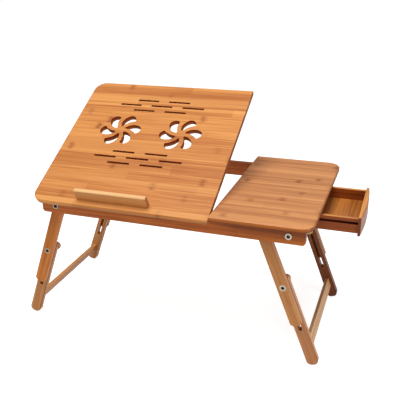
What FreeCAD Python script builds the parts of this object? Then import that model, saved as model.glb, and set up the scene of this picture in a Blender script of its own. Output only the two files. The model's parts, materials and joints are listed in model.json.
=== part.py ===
"""Bamboo lap desk: a tilting laptop panel, a fixed side panel with a drawer under it, and legs that
fold inwards and adjust in height.

Working frame while the pieces are made: x runs from the left edge of the desk to its right edge, y from
the front edge to the rear edge and z up, with the top faces of both panels at z = 0 while the tilting
panel lies flat.  At the end each piece gets the placement of the assembly it belongs to (tilted panel,
swung-out prop, splayed legs) and the whole desk is stood on z = 0 over the middle of its footprint.
"""
import FreeCAD, Part
import os
import re

import Sketcher
from FreeCAD import Placement, Rotation, Vector

NODE_FOLDER = "parts"

# Driving dimensions: millimetres, and degrees for angles.
SIZES = [
    # desk top
    ("table_length", 550.0),
    ("table_depth", 350.0),
    ("board", 10.5),                 # thickness of the fixed panel
    ("tilt_width", 364.0),           # width of the tilting panel
    ("panel_gap", 1.5),              # saw cut between the two panels
    ("tilt_clear", 0.3),             # air under the tilting panel when it lies on the rails
    ("corner_radius", 26.0),
    ("edge_bevel", 2.0),
    # rails under the top
    ("rail_inset", 16.0),            # rail faces behind the front and rear edges
    ("rail_end_inset", 14.0),
    ("rail_thick", 12.0),
    ("rail_height", 30.0),
    ("rail_clip", 4.0),              # clipped lower corners
    # tilt
    ("tilt_angle", 28.5),
    ("hinge_gap", 8.2),              # between a hinge and the bearer beside it
    ("hinge_length", 48.0),
    ("barrel_radius", 2.5),
    ("hinge_pin_radius", 1.3),
    ("leaf_thick", 1.2),
    ("leaf_width", 8.6),
    ("leaf_play", 0.2),              # air beside knuckles and barrel
    ("running_fit", 0.05),           # radial air of pins and bolts that turn
    # book stop
    ("stop_length", 148.0),
    ("stop_height", 24.0),
    ("stop_thick", 8.5),
    ("stop_setback", 14.0),
    ("stop_center", 172.0),
    ("stop_bevel", 1.0),
    # vents
    ("vent_center", 180.0),
    ("vent_length", 48.0),
    ("vent_width", 4.6),
    ("vent_pitch", 71.0),
    ("vent_row_pitch", 15.3),
    ("upper_vents", 283.0),          # middle row of the upper group from the front edge
    ("lower_vents", 130.0),          # middle row of the lower group
    ("fan_spread", 134.0),           # between the two fan centres
    ("fan_setback", 206.0),
    ("fan_radius", 43.0),
    ("fan_tail_radius", 37.0),
    ("fan_hub_radius", 11.5),
    ("fan_lead_turn", 13.0),
    ("fan_tail_turn", 42.0),
    ("fan_hub_turn", 9.0),
    ("fan_blades", 6.0),
    # prop that holds the panel up
    ("prop_reach", 145.0),           # hinge axis to prop pin, along the panel
    ("prop_drop", 5.2),              # prop pin below the underside of the panel
    ("bar_setback", 127.0),          # bar from the rear edge while it props the panel
    ("bar_drop", 1.7),               # bar below the fixed panel while it props the other
    ("prop_span", 140.0),            # over the outer faces of the arms
    ("arm_width", 10.0),
    ("arm_height", 9.0),
    ("prop_pin_radius", 2.0),
    ("prop_pin_head", 3.6),
    ("prop_pin_head_thick", 2.0),
    ("block_width", 14.0),
    ("block_length", 22.0),
    ("side_play", 0.3),
    ("bar_radius", 3.0),
    ("bar_overhang", 7.0),           # bar past the outer side of each bearer
    ("bar_clear", 0.3),              # bar above the crests of the bearers
    # notched bearers under the tilting panel
    ("bearer_width", 12.0),
    ("bearer_height", 18.0),
    ("bearer_setback", 40.5),        # full height behind the inner face of each rail
    ("bearer_end_thick", 5.5),       # thin ends, above the folded legs
    ("bearer_let_in", 6.0),          # ends let into the rails
    ("bearer_play", 1.5),
    ("crest_clear", 2.1),            # rear end of the crest line under the bar of the flat panel
    ("crest_play", 3.0),             # crest line past the bar of the flat panel
    ("crest_heel", 9.0),             # crest line in front of the first notch
    ("notch_count", 5.0),
    ("notch_pitch", 8.6),
    ("notch_radius", 3.4),
    ("notch_depth", 1.4),
    # legs
    ("left_pivot", 44.0),            # from the left edge
    ("right_pivot", 95.5),           # from the right edge
    ("pivot_drop", 15.5),            # below the tops of the rails
    ("splay", 20.8),
    ("leg_gap", 0.4),
    ("upper_width", 22.0),
    ("upper_thick", 11.5),
    ("upper_reach", 200.0),
    ("upper_clip", 5.0),
    ("lower_width", 22.0),
    ("lower_thick", 12.5),
    ("knob_reach", 119.0),           # leg pivot to knob bolt
    ("slot_travel", 95.0),
    ("slot_play", 0.3),
    ("slot_margin", 14.0),           # wood above the slot
    ("foot_reach", 293.5),           # leg pivot to the end of the foot, fully extended
    ("foot_round", 8.5),
    ("head_clip", 2.5),
    ("brace_reach", 257.0),
    ("brace_width", 20.0),
    ("brace_thick", 7.0),
    ("brace_tenon", 5.0),            # brace let into the lower legs
    # bolts and pins
    ("bolt_radius", 3.0),
    ("bolt_head", 6.0),
    ("bolt_head_thick", 3.0),
    ("bolt_stand", 1.0),             # rail bolt heads stand proud
    ("socket_radius", 3.3),
    ("socket_depth", 2.2),
    ("nut_radius", 5.5),
    ("nut_thick", 2.8),
    ("pin_depth", 9.0),              # blind pivot pins in the rails
    ("block_bolt", 44.0),            # end block bolt from the right edge
    ("block_bolt_length", 34.0),
    ("block_length_past_bolt", 14.0),
    # knobs
    ("knob_radius", 8.0),
    ("knob_stretch", 10.0),          # between the two end centres of the oval
    ("knob_thick", 10.5),
    ("knob_grip", 7.5),              # bolt inside the knob
    # drawer
    ("drawer_center", 173.0),
    ("drawer_width", 148.0),
    ("drawer_drop", 4.5),            # drawer sides below the fixed panel
    ("drawer_height", 28.0),
    ("drawer_wall", 8.0),
    ("drawer_length", 165.0),
    ("drawer_open", 76.0),
    ("drawer_reveal", 2.0),          # closed front behind the edge of the top
    ("drawer_play", 0.4),
    ("floor_thick", 4.0),
    ("floor_lift", 3.0),
    ("floor_tongue", 3.0),
    ("front_edge_thick", 5.0),
    ("front_bow", 4.5),
    ("front_overhang", 3.0),
    ("front_rise", 3.7),
    ("front_lip", 4.3),
    ("front_bevel", 1.5),
    ("groove_drop", 6.3),
    ("groove_height", 5.4),
    ("groove_depth", 4.3),
    ("tongue_play", 0.3),
    ("guide_thick", 12.0),
    ("guide_height", 18.0),
    ("guide_setback", 12.0),
]
NAMES = {name for name, value in SIZES}

doc = FreeCAD.newDocument("LapDesk")
sheet = doc.addObject("Spreadsheet::Sheet", "Sizes")
for row, (name, value) in enumerate(SIZES, start=1):
    sheet.set("A%d" % row, name)
    sheet.set("B%d" % row, str(value))
    sheet.setAlias("B%d" % row, name)
doc.recompute()


# ---------------------------------------------------------------- sizes, planes and sketches

def sized(text):
    """The expression text with every size name made a reference to its cell."""
    return re.sub(r"[a-z_]+", lambda m: "Sizes." + m.group() if m.group() in NAMES else m.group(), text)


def number(text):
    """The value of an expression of size names."""
    return float(sheet.evalExpression(text))


# Which way the normal of each sketch plane points along its axis.
PLANES = {"XY_Plane": 1, "YZ_Plane": 1, "XZ_Plane": -1}


def new_body(label, several=False):
    body = doc.addObject("PartDesign::Body", label)
    body.Label = label
    if several:
        body.AllowCompound = True
    return body


def new_sketch(body, role, level, shift=("0", "0")):
    """A sketch on one of the body's own planes, moved along the plane's axis to level."""
    sketch = body.newObject("Sketcher::SketchObject", "Sketch")
    plane = next(f for f in body.Origin.OriginFeatures if f.Role == role)
    sketch.AttachmentSupport = [(plane, "")]
    sketch.MapMode = "FlatFace"
    away = level if PLANES[role] > 0 else "-(%s)" % level
    sketch.setExpression("AttachmentOffset.Base.x", sized(shift[0]))
    sketch.setExpression("AttachmentOffset.Base.y", sized(shift[1]))
    sketch.setExpression("AttachmentOffset.Base.z", sized(away))
    return sketch


def fix(sketch, kind, text, *where):
    """A dimension whose value is an expression of the sizes."""
    index = sketch.addConstraint(Sketcher.Constraint(kind, *where, number(text)))
    sketch.setExpression("Constraints[%d]" % index, sized(text))


def fix_point(sketch, geometry, position, u, v):
    fix(sketch, "DistanceX", u, -1, 1, geometry, position)
    fix(sketch, "DistanceY", v, -1, 1, geometry, position)


def add_polygon(sketch, corners):
    """A closed outline of straight edges through the corners."""
    spots = [Vector(number(u), number(v), 0) for u, v in corners]
    first = sketch.GeometryCount
    count = len(spots)
    for i in range(count):
        sketch.addGeometry(Part.LineSegment(spots[i], spots[(i + 1) % count]), False)
    for i in range(count):
        after = first + (i + 1) % count
        sketch.addConstraint(Sketcher.Constraint("Coincident", first + i, 2, after, 1))
        fix_point(sketch, first + i, 1, *corners[i])


def box_corners(u0, v0, u1, v1):
    return [(u0, v0), (u1, v0), (u1, v1), (u0, v1)]


def add_circle(sketch, u, v, radius):
    circle = Part.Circle(Vector(number(u), number(v), 0), Vector(0, 0, 1), number(radius))
    index = sketch.addGeometry(circle, False)
    fix(sketch, "Radius", radius, index)
    fix_point(sketch, index, 3, u, v)


def add_oval(sketch, start, end, radius):
    """Two half circles round start and end, joined by straight sides."""
    a = Vector(number(start[0]), number(start[1]), 0)
    b = Vector(number(end[0]), number(end[1]), 0)
    r = number(radius)
    along = Vector(b - a).normalize()
    side = Vector(-along.y, along.x, 0) * r
    turn = along.getAngle(Vector(1, 0, 0)) * (1 if along.y >= 0 else -1)
    quarter = 1.5707963267948966
    normal = Vector(0, 0, 1)
    upper = sketch.addGeometry(Part.LineSegment(a + side, b + side), False)
    end_cap = sketch.addGeometry(
        Part.ArcOfCircle(Part.Circle(b, normal, r), turn - quarter, turn + quarter), False)
    lower = sketch.addGeometry(Part.LineSegment(b - side, a - side), False)
    start_cap = sketch.addGeometry(
        Part.ArcOfCircle(Part.Circle(a, normal, r), turn + quarter, turn + 3 * quarter), False)
    for line, line_end, arc, arc_end in (
        (upper, 2, end_cap, 2), (lower, 1, end_cap, 1), (lower, 2, start_cap, 2), (upper, 1, start_cap, 1),
    ):
        sketch.addConstraint(Sketcher.Constraint("Tangent", line, line_end, arc, arc_end))
    fix_point(sketch, end_cap, 3, *end)
    fix_point(sketch, start_cap, 3, *start)
    fix(sketch, "Radius", radius, end_cap)
    sketch.addConstraint(Sketcher.Constraint("Equal", end_cap, start_cap))


def extrude(body, role, draw, low, high):
    """Material between the levels low and high, over what draw puts in the sketch."""
    sketch = new_sketch(body, role, low if PLANES[role] > 0 else high)
    draw(sketch)
    pad = body.newObject("PartDesign::Pad", "Pad")
    pad.Profile = sketch
    pad.setExpression("Length", sized("(%s) - (%s)" % (high, low)))
    doc.recompute()
    return pad


def cut(body, role, draw, low, high, shift=("0", "0")):
    """Takes away what lies between the levels low and high, inside what draw puts in the sketch."""
    sketch = new_sketch(body, role, high if PLANES[role] > 0 else low, shift)
    draw(sketch)
    pocket = body.newObject("PartDesign::Pocket", "Pocket")
    pocket.Profile = sketch
    pocket.setExpression("Length", sized("(%s) - (%s)" % (high, low)))
    doc.recompute()
    return pocket


def slab(body, role, corners, low, high):
    return extrude(body, role, lambda sketch: add_polygon(sketch, corners), low, high)


def recess(body, role, corners, low, high):
    return cut(body, role, lambda sketch: add_polygon(sketch, corners), low, high)


def rod(body, role, u, v, radius, low, high):
    return extrude(body, role, lambda sketch: add_circle(sketch, u, v, radius), low, high)


def bore(body, role, u, v, radius, low, high):
    return cut(body, role, lambda sketch: add_circle(sketch, u, v, radius), low, high)


def dress(body, feature, sized_by, amount, wanted):
    """Rounds or bevels the edges of the body that wanted picks."""
    tip = body.Tip
    names = ["Edge%d" % (i + 1) for i, edge in enumerate(tip.Shape.Edges) if wanted(edge)]
    dressed = body.newObject(feature, "Edges")
    dressed.Base = (tip, names)
    dressed.setExpression(sized_by, sized(amount))
    doc.recompute()


def soften(body, radius, wanted):
    dress(body, "PartDesign::Fillet", "Radius", radius, wanted)


def bevel(body, size, wanted):
    dress(body, "PartDesign::Chamfer", "Size", size, wanted)


def near(a, b):
    return abs(a - b) < 1e-4


def middle(edge):
    return edge.BoundBox.Center


def upright(edge):
    """True for a straight edge along z."""
    return edge.BoundBox.XLength < 1e-4 and edge.BoundBox.YLength < 1e-4


def flat_at(edge, level):
    """True for an edge that lies at one height."""
    return near(edge.BoundBox.ZMin, level) and near(edge.BoundBox.ZMax, level)


# ---------------------------------------------------------------- levels and places

RAIL_TOP = "-board"
RAIL_BOTTOM = "-board - rail_height"
RAIL_LEFT = "rail_end_inset"
RAIL_RIGHT = "table_length - rail_end_inset"
RAIL_INNER = "rail_inset + rail_thick"
TILT_UNDER = "-board + tilt_clear"
HINGE_Y = "rail_inset"
HINGE_Z = "-board + tilt_clear / 2"
LEAF_START = "rail_inset + barrel_radius + leaf_play"
LEAF_END = LEAF_START + " + leaf_width"
PROP_MIDDLE = "tilt_width / 2"
PROP_PIN_Y = "rail_inset + prop_reach"
PROP_PIN_Z = "-board + tilt_clear - prop_drop"
FIXED_LEFT = "tilt_width + panel_gap"
BEARER_FRONT = "rail_inset + rail_thick + bearer_setback"
BEARER_TIP = "rail_inset + rail_thick - bearer_let_in"
BEARER_BOTTOM = "-board - bearer_height"
BEARER_END_UNDER = "-board - bearer_end_thick"
BEARER_OFFSET = "(prop_span / 2 + side_play + block_width + bearer_play + bearer_width / 2)"
HINGE_OFFSET = "(%s + bearer_width / 2 + hinge_gap + hinge_length / 2)" % BEARER_OFFSET
HINGE_MIDDLES = ("%s - %s" % (PROP_MIDDLE, HINGE_OFFSET), "%s + %s" % (PROP_MIDDLE, HINGE_OFFSET))
PIVOT_Z = "-board - pivot_drop"
PIVOT_X = {"left": "left_pivot", "right": "table_length - right_pivot"}
# Horizontal distance from a leg pivot to the lower corner of the rail-high piece that stops its splay.
STOP_REACH = "(upper_width / 2 / cos(splay) + (rail_height - pivot_drop) * tan(splay) + side_play)"
UPPER_OUTER = "rail_inset + rail_thick + leg_gap"
UPPER_INNER = UPPER_OUTER + " + upper_thick"
LOWER_OUTER = UPPER_INNER + " + leg_gap"
LOWER_INNER = LOWER_OUTER + " + lower_thick"
KNOB_FACE = LOWER_INNER + " + side_play"
KNOB_Z = PIVOT_Z + " - knob_reach"
DRAWER_INNER_FACE = "table_length - drawer_reveal - front_edge_thick - front_bow + drawer_open"
DRAWER_BACK_END = DRAWER_INNER_FACE + " - drawer_length"
DRAWER_TOP = "-board - drawer_drop"
DRAWER_BOTTOM = "-board - drawer_drop - drawer_height"
SIDES = ("front", "rear")


def across(side, low, high):
    """The range of y between two distances from the front edge, or as far from the rear edge."""
    if side == "front":
        return low, high
    return "table_depth - (%s)" % high, "table_depth - (%s)" % low


def beside_drawer(side, low, high):
    """The range of y between two distances from the drawer's middle, on its front or rear side."""
    if side == "front":
        return "drawer_center - (%s)" % high, "drawer_center - (%s)" % low
    return "drawer_center + (%s)" % low, "drawer_center + (%s)" % high


# ---------------------------------------------------------------- frame of the desk

def make_rail(side):
    """A long rail with clipped lower corners, bored for the leg pivots and the end block bolt."""
    body = new_body(side + "_rail")
    outline = [
        (RAIL_LEFT, RAIL_TOP), (RAIL_LEFT, RAIL_BOTTOM + " + rail_clip"),
        (RAIL_LEFT + " + rail_clip", RAIL_BOTTOM), (RAIL_RIGHT + " - rail_clip", RAIL_BOTTOM),
        (RAIL_RIGHT, RAIL_BOTTOM + " + rail_clip"), (RAIL_RIGHT, RAIL_TOP),
    ]
    slab(body, "XZ_Plane", outline, *across(side, "rail_inset", RAIL_INNER))
    for u in (PIVOT_X["left"], "table_length - block_bolt"):
        bore(body, "XZ_Plane", u, PIVOT_Z, "bolt_radius", *across(side, "rail_inset", RAIL_INNER))
        seat = across(side, "rail_inset", "rail_inset + bolt_head_thick - bolt_stand")
        bore(body, "XZ_Plane", u, PIVOT_Z, "bolt_head", *seat)
    blind = across(side, RAIL_INNER + " - pin_depth", RAIL_INNER)
    bore(body, "XZ_Plane", PIVOT_X["right"], PIVOT_Z, "bolt_radius", *blind)
    if side == "front":
        for x in HINGE_MIDDLES:
            ends = (x + " - hinge_length / 2 - leaf_play", x + " + hinge_length / 2 + leaf_play")
            bore(body, "YZ_Plane", HINGE_Y, HINGE_Z, "barrel_radius + leaf_play", *ends)
            corners = box_corners(HINGE_Y, RAIL_TOP + " - leaf_thick", LEAF_END, RAIL_TOP)
            recess(body, "YZ_Plane", corners, x + " - hinge_length / 2", x + " + hinge_length / 2")
    for sign in "-+":
        seat = box_corners(bearer_x(sign) + " - bearer_width / 2", BEARER_END_UNDER,
                           bearer_x(sign) + " + bearer_width / 2", RAIL_TOP)
        recess(body, "XZ_Plane", seat, *across(side, BEARER_TIP, RAIL_INNER))
    return body


def bearer_x(sign):
    """The middle of the left (-) or right (+) bearer."""
    return "%s %s %s" % (PROP_MIDDLE, sign, BEARER_OFFSET)


def make_left_cross_rail():
    """Joins the rails at the left end and stops the splay of the left legs with its lower corner."""
    body = new_body("left_cross_rail")
    corners = box_corners(RAIL_LEFT, RAIL_BOTTOM, "left_pivot - " + STOP_REACH, RAIL_TOP)
    slab(body, "XZ_Plane", corners, RAIL_INNER, "table_depth - (%s)" % RAIL_INNER)
    return body


# The prop pin and the prop bar while the panel is up, and the length and the slope of the arm between them.
PIN_UP_Y = HINGE_Y + " + prop_reach * cos(tilt_angle) + (prop_drop - tilt_clear / 2) * sin(tilt_angle)"
PIN_UP_Z = HINGE_Z + " + prop_reach * sin(tilt_angle) - (prop_drop - tilt_clear / 2) * cos(tilt_angle)"
BAR_Y = "table_depth - bar_setback"
BAR_Z = "-board - bar_drop"
PROP_RUN = "(%s - (%s))" % (BAR_Y, PIN_UP_Y)
PROP_RISE = "(%s - (%s))" % (PIN_UP_Z, BAR_Z)
PROP_LENGTH = "sqrt(%s^2 + %s^2)" % (PROP_RUN, PROP_RISE)
PROP_LEAN = "atan(%s / %s)" % (PROP_RISE, PROP_RUN)
FLAT_BAR_Y = "%s + %s" % (PROP_PIN_Y, PROP_LENGTH)
# The crest line of the bearers, from under the bar of the raised panel to past the bar of the flat one.
CREST_Z = BAR_Z + " - bar_radius - bar_clear"
CREST_END_Y = FLAT_BAR_Y + " + bar_radius + crest_play"
CREST_END_Z = PROP_PIN_Z + " - bar_radius - crest_clear"
CREST_SLOPE = "((%s - (%s)) / (%s - (%s)))" % (CREST_Z, CREST_END_Z, CREST_END_Y, BAR_Y)


def make_bearer(name, sign):
    """A bearer let into both rails; the notched crest under the prop's bar falls to the rear, as the
    bar's path does, and the thin ends leave room for the folded legs."""
    body = new_body(name)
    x = bearer_x(sign)
    rear = "table_depth - (%s)" % BEARER_FRONT
    rear_tip = "table_depth - (%s)" % BEARER_TIP
    heel = "%s - crest_heel" % BAR_Y
    outline = [
        (BEARER_TIP, RAIL_TOP), (BEARER_TIP, BEARER_END_UNDER), (BEARER_FRONT, BEARER_END_UNDER),
        (BEARER_FRONT, BEARER_BOTTOM), (rear, BEARER_BOTTOM), (rear, BEARER_END_UNDER),
        (rear_tip, BEARER_END_UNDER), (rear_tip, RAIL_TOP), (CREST_END_Y, RAIL_TOP),
        (CREST_END_Y, CREST_END_Z), (BAR_Y, CREST_Z), (heel, CREST_Z), (heel, RAIL_TOP),
    ]
    ends = (x + " - bearer_width / 2", x + " + bearer_width / 2")
    slab(body, "YZ_Plane", outline, *ends)

    def notches(sketch):
        for i in range(int(number("notch_count"))):
            y = "%s + %d * notch_pitch" % (BAR_Y, i)
            z = "%s - %s * %d * notch_pitch + notch_radius - notch_depth" % (CREST_Z, CREST_SLOPE, i)
            add_circle(sketch, y, z, "notch_radius")

    cut(body, "YZ_Plane", notches, *ends)
    return body


def make_end_block(side):
    """Blocks the space between a rail and the drawer guide, and stops the splay of a right leg."""
    body = new_body(side + "_end_block")
    left = PIVOT_X["right"] + " + " + STOP_REACH
    right = "table_length - block_bolt + block_length_past_bolt"
    guide = "drawer_width / 2 + drawer_play + guide_thick"
    inner, outer = beside_drawer(side, guide, guide)
    low, high = (RAIL_INNER, inner) if side == "front" else (outer, "table_depth - (%s)" % RAIL_INNER)
    slab(body, "XZ_Plane", box_corners(left, RAIL_BOTTOM, right, RAIL_TOP), low, high)
    hole = across(side, RAIL_INNER, "rail_inset - bolt_stand + bolt_head_thick + block_bolt_length")
    bore(body, "XZ_Plane", "table_length - block_bolt", PIVOT_Z, "bolt_radius", *hole)
    return body


def make_fixed_panel():
    """The right part of the top, with two rounded corners and softened outer edges."""
    body = new_body("fixed_panel")
    slab(body, "XY_Plane", box_corners(FIXED_LEFT, "0", "table_length", "table_depth"), "-board", "0")
    right = number("table_length")
    left = number(FIXED_LEFT)
    soften(body, "corner_radius", lambda e: upright(e) and near(middle(e).x, right))
    bevel(body, "edge_bevel", lambda e: not near(middle(e).x, left)
          and (flat_at(e, 0) or flat_at(e, -number("board"))))
    return body


def make_drawer_guide(side):
    """A bearer under the fixed panel whose tongue runs in the groove of a drawer side."""
    body = new_body(side + "_drawer_guide")
    outer = "drawer_width / 2 + drawer_play + guide_thick"
    face = "drawer_width / 2 + drawer_play"
    tip = "drawer_width / 2 - groove_depth + tongue_play"
    left = FIXED_LEFT + " + guide_setback"
    groove_top = DRAWER_TOP + " - groove_drop"
    slab(body, "XZ_Plane", box_corners(left, "-board - guide_height", RAIL_RIGHT, RAIL_TOP),
         *beside_drawer(side, face, outer))
    tongue = box_corners(left, groove_top + " - groove_height + tongue_play", RAIL_RIGHT,
                         groove_top + " - tongue_play")
    slab(body, "XZ_Plane", tongue, *beside_drawer(side, tip, face))
    return body


# ---------------------------------------------------------------- hinges of the tilting panel

def knuckle_ends(x, fixed):
    """Each knuckle of one leaf as a pair of ends along x: one in the middle, or one at each end."""
    third = "hinge_length / 6"
    if fixed:
        return [(x + " - " + third, x + " + " + third)]
    return [(x + " - hinge_length / 2", x + " - " + third + " - leaf_play"),
            (x + " + " + third + " + leaf_play", x + " + hinge_length / 2")]


def make_hinge_leaves(label, fixed):
    """The leaves let into the rail (fixed) or into the underside of the tilting panel."""
    body = new_body(label, several=True)
    low, high = TILT_UNDER, TILT_UNDER + " + leaf_thick"
    if fixed:
        low, high = RAIL_TOP + " - leaf_thick", RAIL_TOP
    for x in HINGE_MIDDLES:
        plate = box_corners(x + " - hinge_length / 2", LEAF_START, x + " + hinge_length / 2", LEAF_END)
        slab(body, "XY_Plane", plate, low, high)
        for start, end in knuckle_ends(x, fixed):
            slab(body, "XY_Plane", box_corners(start, HINGE_Y, end, LEAF_START), low, high)
            rod(body, "YZ_Plane", HINGE_Y, HINGE_Z, "barrel_radius", start, end)
            hole = "hinge_pin_radius" if fixed else "hinge_pin_radius + running_fit"
            bore(body, "YZ_Plane", HINGE_Y, HINGE_Z, hole, start, end)
    return body


def make_hinge_pins():
    body = new_body("hinge_pins", several=True)
    for x in HINGE_MIDDLES:
        rod(body, "YZ_Plane", HINGE_Y, HINGE_Z, "hinge_pin_radius",
            x + " - hinge_length / 2", x + " + hinge_length / 2")
    return body


# ---------------------------------------------------------------- tilting panel

def fan_blade(sketch):
    """One curved opening of a fan vent round the sketch's own origin.

    The leading edge bulges, the outer end is rounded, and the trailing edge is hollow, so the opening
    widens and sweeps clockwise as it leaves the hub.
    """
    inner_lead = ("-fan_hub_radius * sin(fan_hub_turn)", "fan_hub_radius * cos(fan_hub_turn)")
    outer_lead = ("fan_radius * sin(fan_lead_turn)", "fan_radius * cos(fan_lead_turn)")
    outer_tail = ("fan_tail_radius * sin(fan_tail_turn)", "fan_tail_radius * cos(fan_tail_turn)")
    inner_tail = ("fan_hub_radius * sin(fan_hub_turn)", "fan_hub_radius * cos(fan_hub_turn)")
    # Each edge: its ends, and how far it bulges to the left of the way from start to end.
    edges = [
        (inner_lead, outer_lead, 0.20), (outer_lead, outer_tail, 0.27),
        (outer_tail, inner_tail, -0.10), (inner_tail, inner_lead, 0.10),
    ]
    first = sketch.GeometryCount
    for i, (start, end, bulge) in enumerate(edges):
        a = Vector(number(start[0]), number(start[1]), 0)
        b = Vector(number(end[0]), number(end[1]), 0)
        chord = b - a
        left = Vector(-chord.y, chord.x, 0)
        arc = Part.Arc(a, (a + b) * 0.5 + left * bulge, b).toShape().Curve
        circle = Part.Circle(arc.Center, Vector(0, 0, 1), arc.Radius)
        ends = sorted_arc(circle, a, b, bulge)
        sketch.addGeometry(Part.ArcOfCircle(circle, *ends), False)
    for i, (start, end, bulge) in enumerate(edges):
        # An arc runs anticlockwise, so where the edge bulges left its start is the arc's end.
        here, there = (2, 1) if bulge > 0 else (1, 2)
        after = (i + 1) % len(edges)
        after_here = 2 if edges[after][2] > 0 else 1
        sketch.addConstraint(Sketcher.Constraint("Coincident", first + i, there, first + after, after_here))
        fix_point(sketch, first + i, here, *start)
        span = "sqrt(((%s) - (%s))^2 + ((%s) - (%s))^2)" % (end[0], start[0], end[1], start[1])
        ratio = (0.25 + bulge * bulge) / (2 * abs(bulge))
        fix(sketch, "Radius", "%s * %.6f" % (span, ratio), first + i)


def sorted_arc(circle, a, b, bulge):
    """Start and end angle of the arc between a and b, anticlockwise."""
    start = circle.parameter(a)
    end = circle.parameter(b)
    if bulge > 0:
        start, end = end, start
    if end < start:
        end += 6.283185307179586
    return start, end


def make_tilt_panel():
    """The laptop panel: two rounded corners, slotted vents, two fan vents and the seats of its fittings."""
    body = new_body("tilt_panel")
    slab(body, "XY_Plane", box_corners("0", "0", "tilt_width", "table_depth"), TILT_UNDER, "0")
    right = number("tilt_width")
    soften(body, "corner_radius", lambda e: upright(e) and near(middle(e).x, 0))
    bevel(body, "edge_bevel", lambda e: not near(middle(e).x, right)
          and (flat_at(e, 0) or flat_at(e, number(TILT_UNDER))))

    def vents(sketch):
        for group in ("upper_vents", "lower_vents"):
            for step, columns in ((-1, 2), (0, 3), (1, 2)):
                y = "%s + %d * vent_row_pitch" % (group, step)
                for column in range(columns):
                    x = "vent_center + %.1f * vent_pitch" % (column - (columns - 1) / 2)
                    add_polygon(sketch, box_corners(
                        x + " - vent_length / 2", y + " - vent_width / 2",
                        x + " + vent_length / 2", y + " + vent_width / 2"))

    cut(body, "XY_Plane", vents, TILT_UNDER, "0")
    for sign in "-+":
        hub = ("vent_center %s fan_spread / 2" % sign, "fan_setback")
        blade = cut(body, "XY_Plane", fan_blade, TILT_UNDER, "0", hub)
        pattern = body.newObject("PartDesign::PolarPattern", "Fan")
        pattern.Originals = [blade]
        pattern.Axis = (blade.Profile[0], ["N_Axis"])
        pattern.Angle = 360
        pattern.Occurrences = int(number("fan_blades"))
        body.Tip = pattern
        doc.recompute()
    for x in HINGE_MIDDLES:
        ends = (x + " - hinge_length / 2 - leaf_play", x + " + hinge_length / 2 + leaf_play")
        bore(body, "YZ_Plane", HINGE_Y, HINGE_Z, "barrel_radius + leaf_play", *ends)
        corners = box_corners(HINGE_Y, TILT_UNDER, LEAF_END, TILT_UNDER + " + leaf_thick")
        recess(body, "YZ_Plane", corners, x + " - hinge_length / 2", x + " + hinge_length / 2")
    return body


def make_book_stop():
    """The ledge that keeps a laptop or book on the tilted panel."""
    body = new_body("book_stop")
    left = "stop_center - stop_length / 2"
    right = "stop_center + stop_length / 2"
    corners = box_corners(left, "stop_setback", right, "stop_setback + stop_thick")
    slab(body, "XY_Plane", corners, "0", "stop_height")
    top = number("stop_height")
    bevel(body, "stop_bevel", lambda e: flat_at(e, top))
    return body


def prop_x(sign, low, high):
    """A range of x between two distances from the middle of the prop, on its left (-) or right (+)."""
    if sign == "-":
        return "%s - (%s)" % (PROP_MIDDLE, high), "%s - (%s)" % (PROP_MIDDLE, low)
    return "%s + (%s)" % (PROP_MIDDLE, low), "%s + (%s)" % (PROP_MIDDLE, high)


def make_prop_blocks():
    """Blocks under the panel that hold the pins of the prop."""
    body = new_body("prop_blocks", several=True)
    for sign in "-+":
        ends = prop_x(sign, "prop_span / 2 + side_play", "prop_span / 2 + side_play + block_width")
        corners = box_corners(PROP_PIN_Y + " - block_length / 2", PROP_PIN_Z + " - arm_height / 2",
                              PROP_PIN_Y + " + block_length / 2", TILT_UNDER)
        slab(body, "YZ_Plane", corners, *ends)
        deep = prop_x(sign, "prop_span / 2 + side_play", "prop_span / 2 + side_play + block_width / 2")
        bore(body, "YZ_Plane", PROP_PIN_Y, PROP_PIN_Z, "prop_pin_radius", *deep)
    return body


def make_prop_pins():
    body = new_body("prop_pins", several=True)
    for sign in "-+":
        head = "prop_span / 2 - arm_width - side_play"
        rod(body, "YZ_Plane", PROP_PIN_Y, PROP_PIN_Z, "prop_pin_radius",
            *prop_x(sign, head, "prop_span / 2 + side_play + block_width / 2"))
        rod(body, "YZ_Plane", PROP_PIN_Y, PROP_PIN_Z, "prop_pin_head",
            *prop_x(sign, head + " - prop_pin_head_thick", head))
    return body


# ---------------------------------------------------------------- prop

def make_prop_arm(name, sign):
    """An arm with round ends, made as it lies folded against the panel."""
    body = new_body(name)
    ends = prop_x(sign, "prop_span / 2 - arm_width", "prop_span / 2")
    pin = (PROP_PIN_Y, PROP_PIN_Z)
    bar = (FLAT_BAR_Y, PROP_PIN_Z)
    extrude(body, "YZ_Plane", lambda sketch: add_oval(sketch, pin, bar, "arm_height / 2"), *ends)
    bore(body, "YZ_Plane", PROP_PIN_Y, PROP_PIN_Z, "prop_pin_radius + running_fit", *ends)
    bore(body, "YZ_Plane", FLAT_BAR_Y, PROP_PIN_Z, "bar_radius", *ends)
    return body


def make_prop_bar():
    body = new_body("prop_bar")
    half = BEARER_OFFSET + " + bearer_width / 2 + bar_overhang"
    rod(body, "YZ_Plane", FLAT_BAR_Y, PROP_PIN_Z, "bar_radius",
        PROP_MIDDLE + " - (%s)" % half, PROP_MIDDLE + " + " + half)
    return body


# ---------------------------------------------------------------- legs

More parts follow.
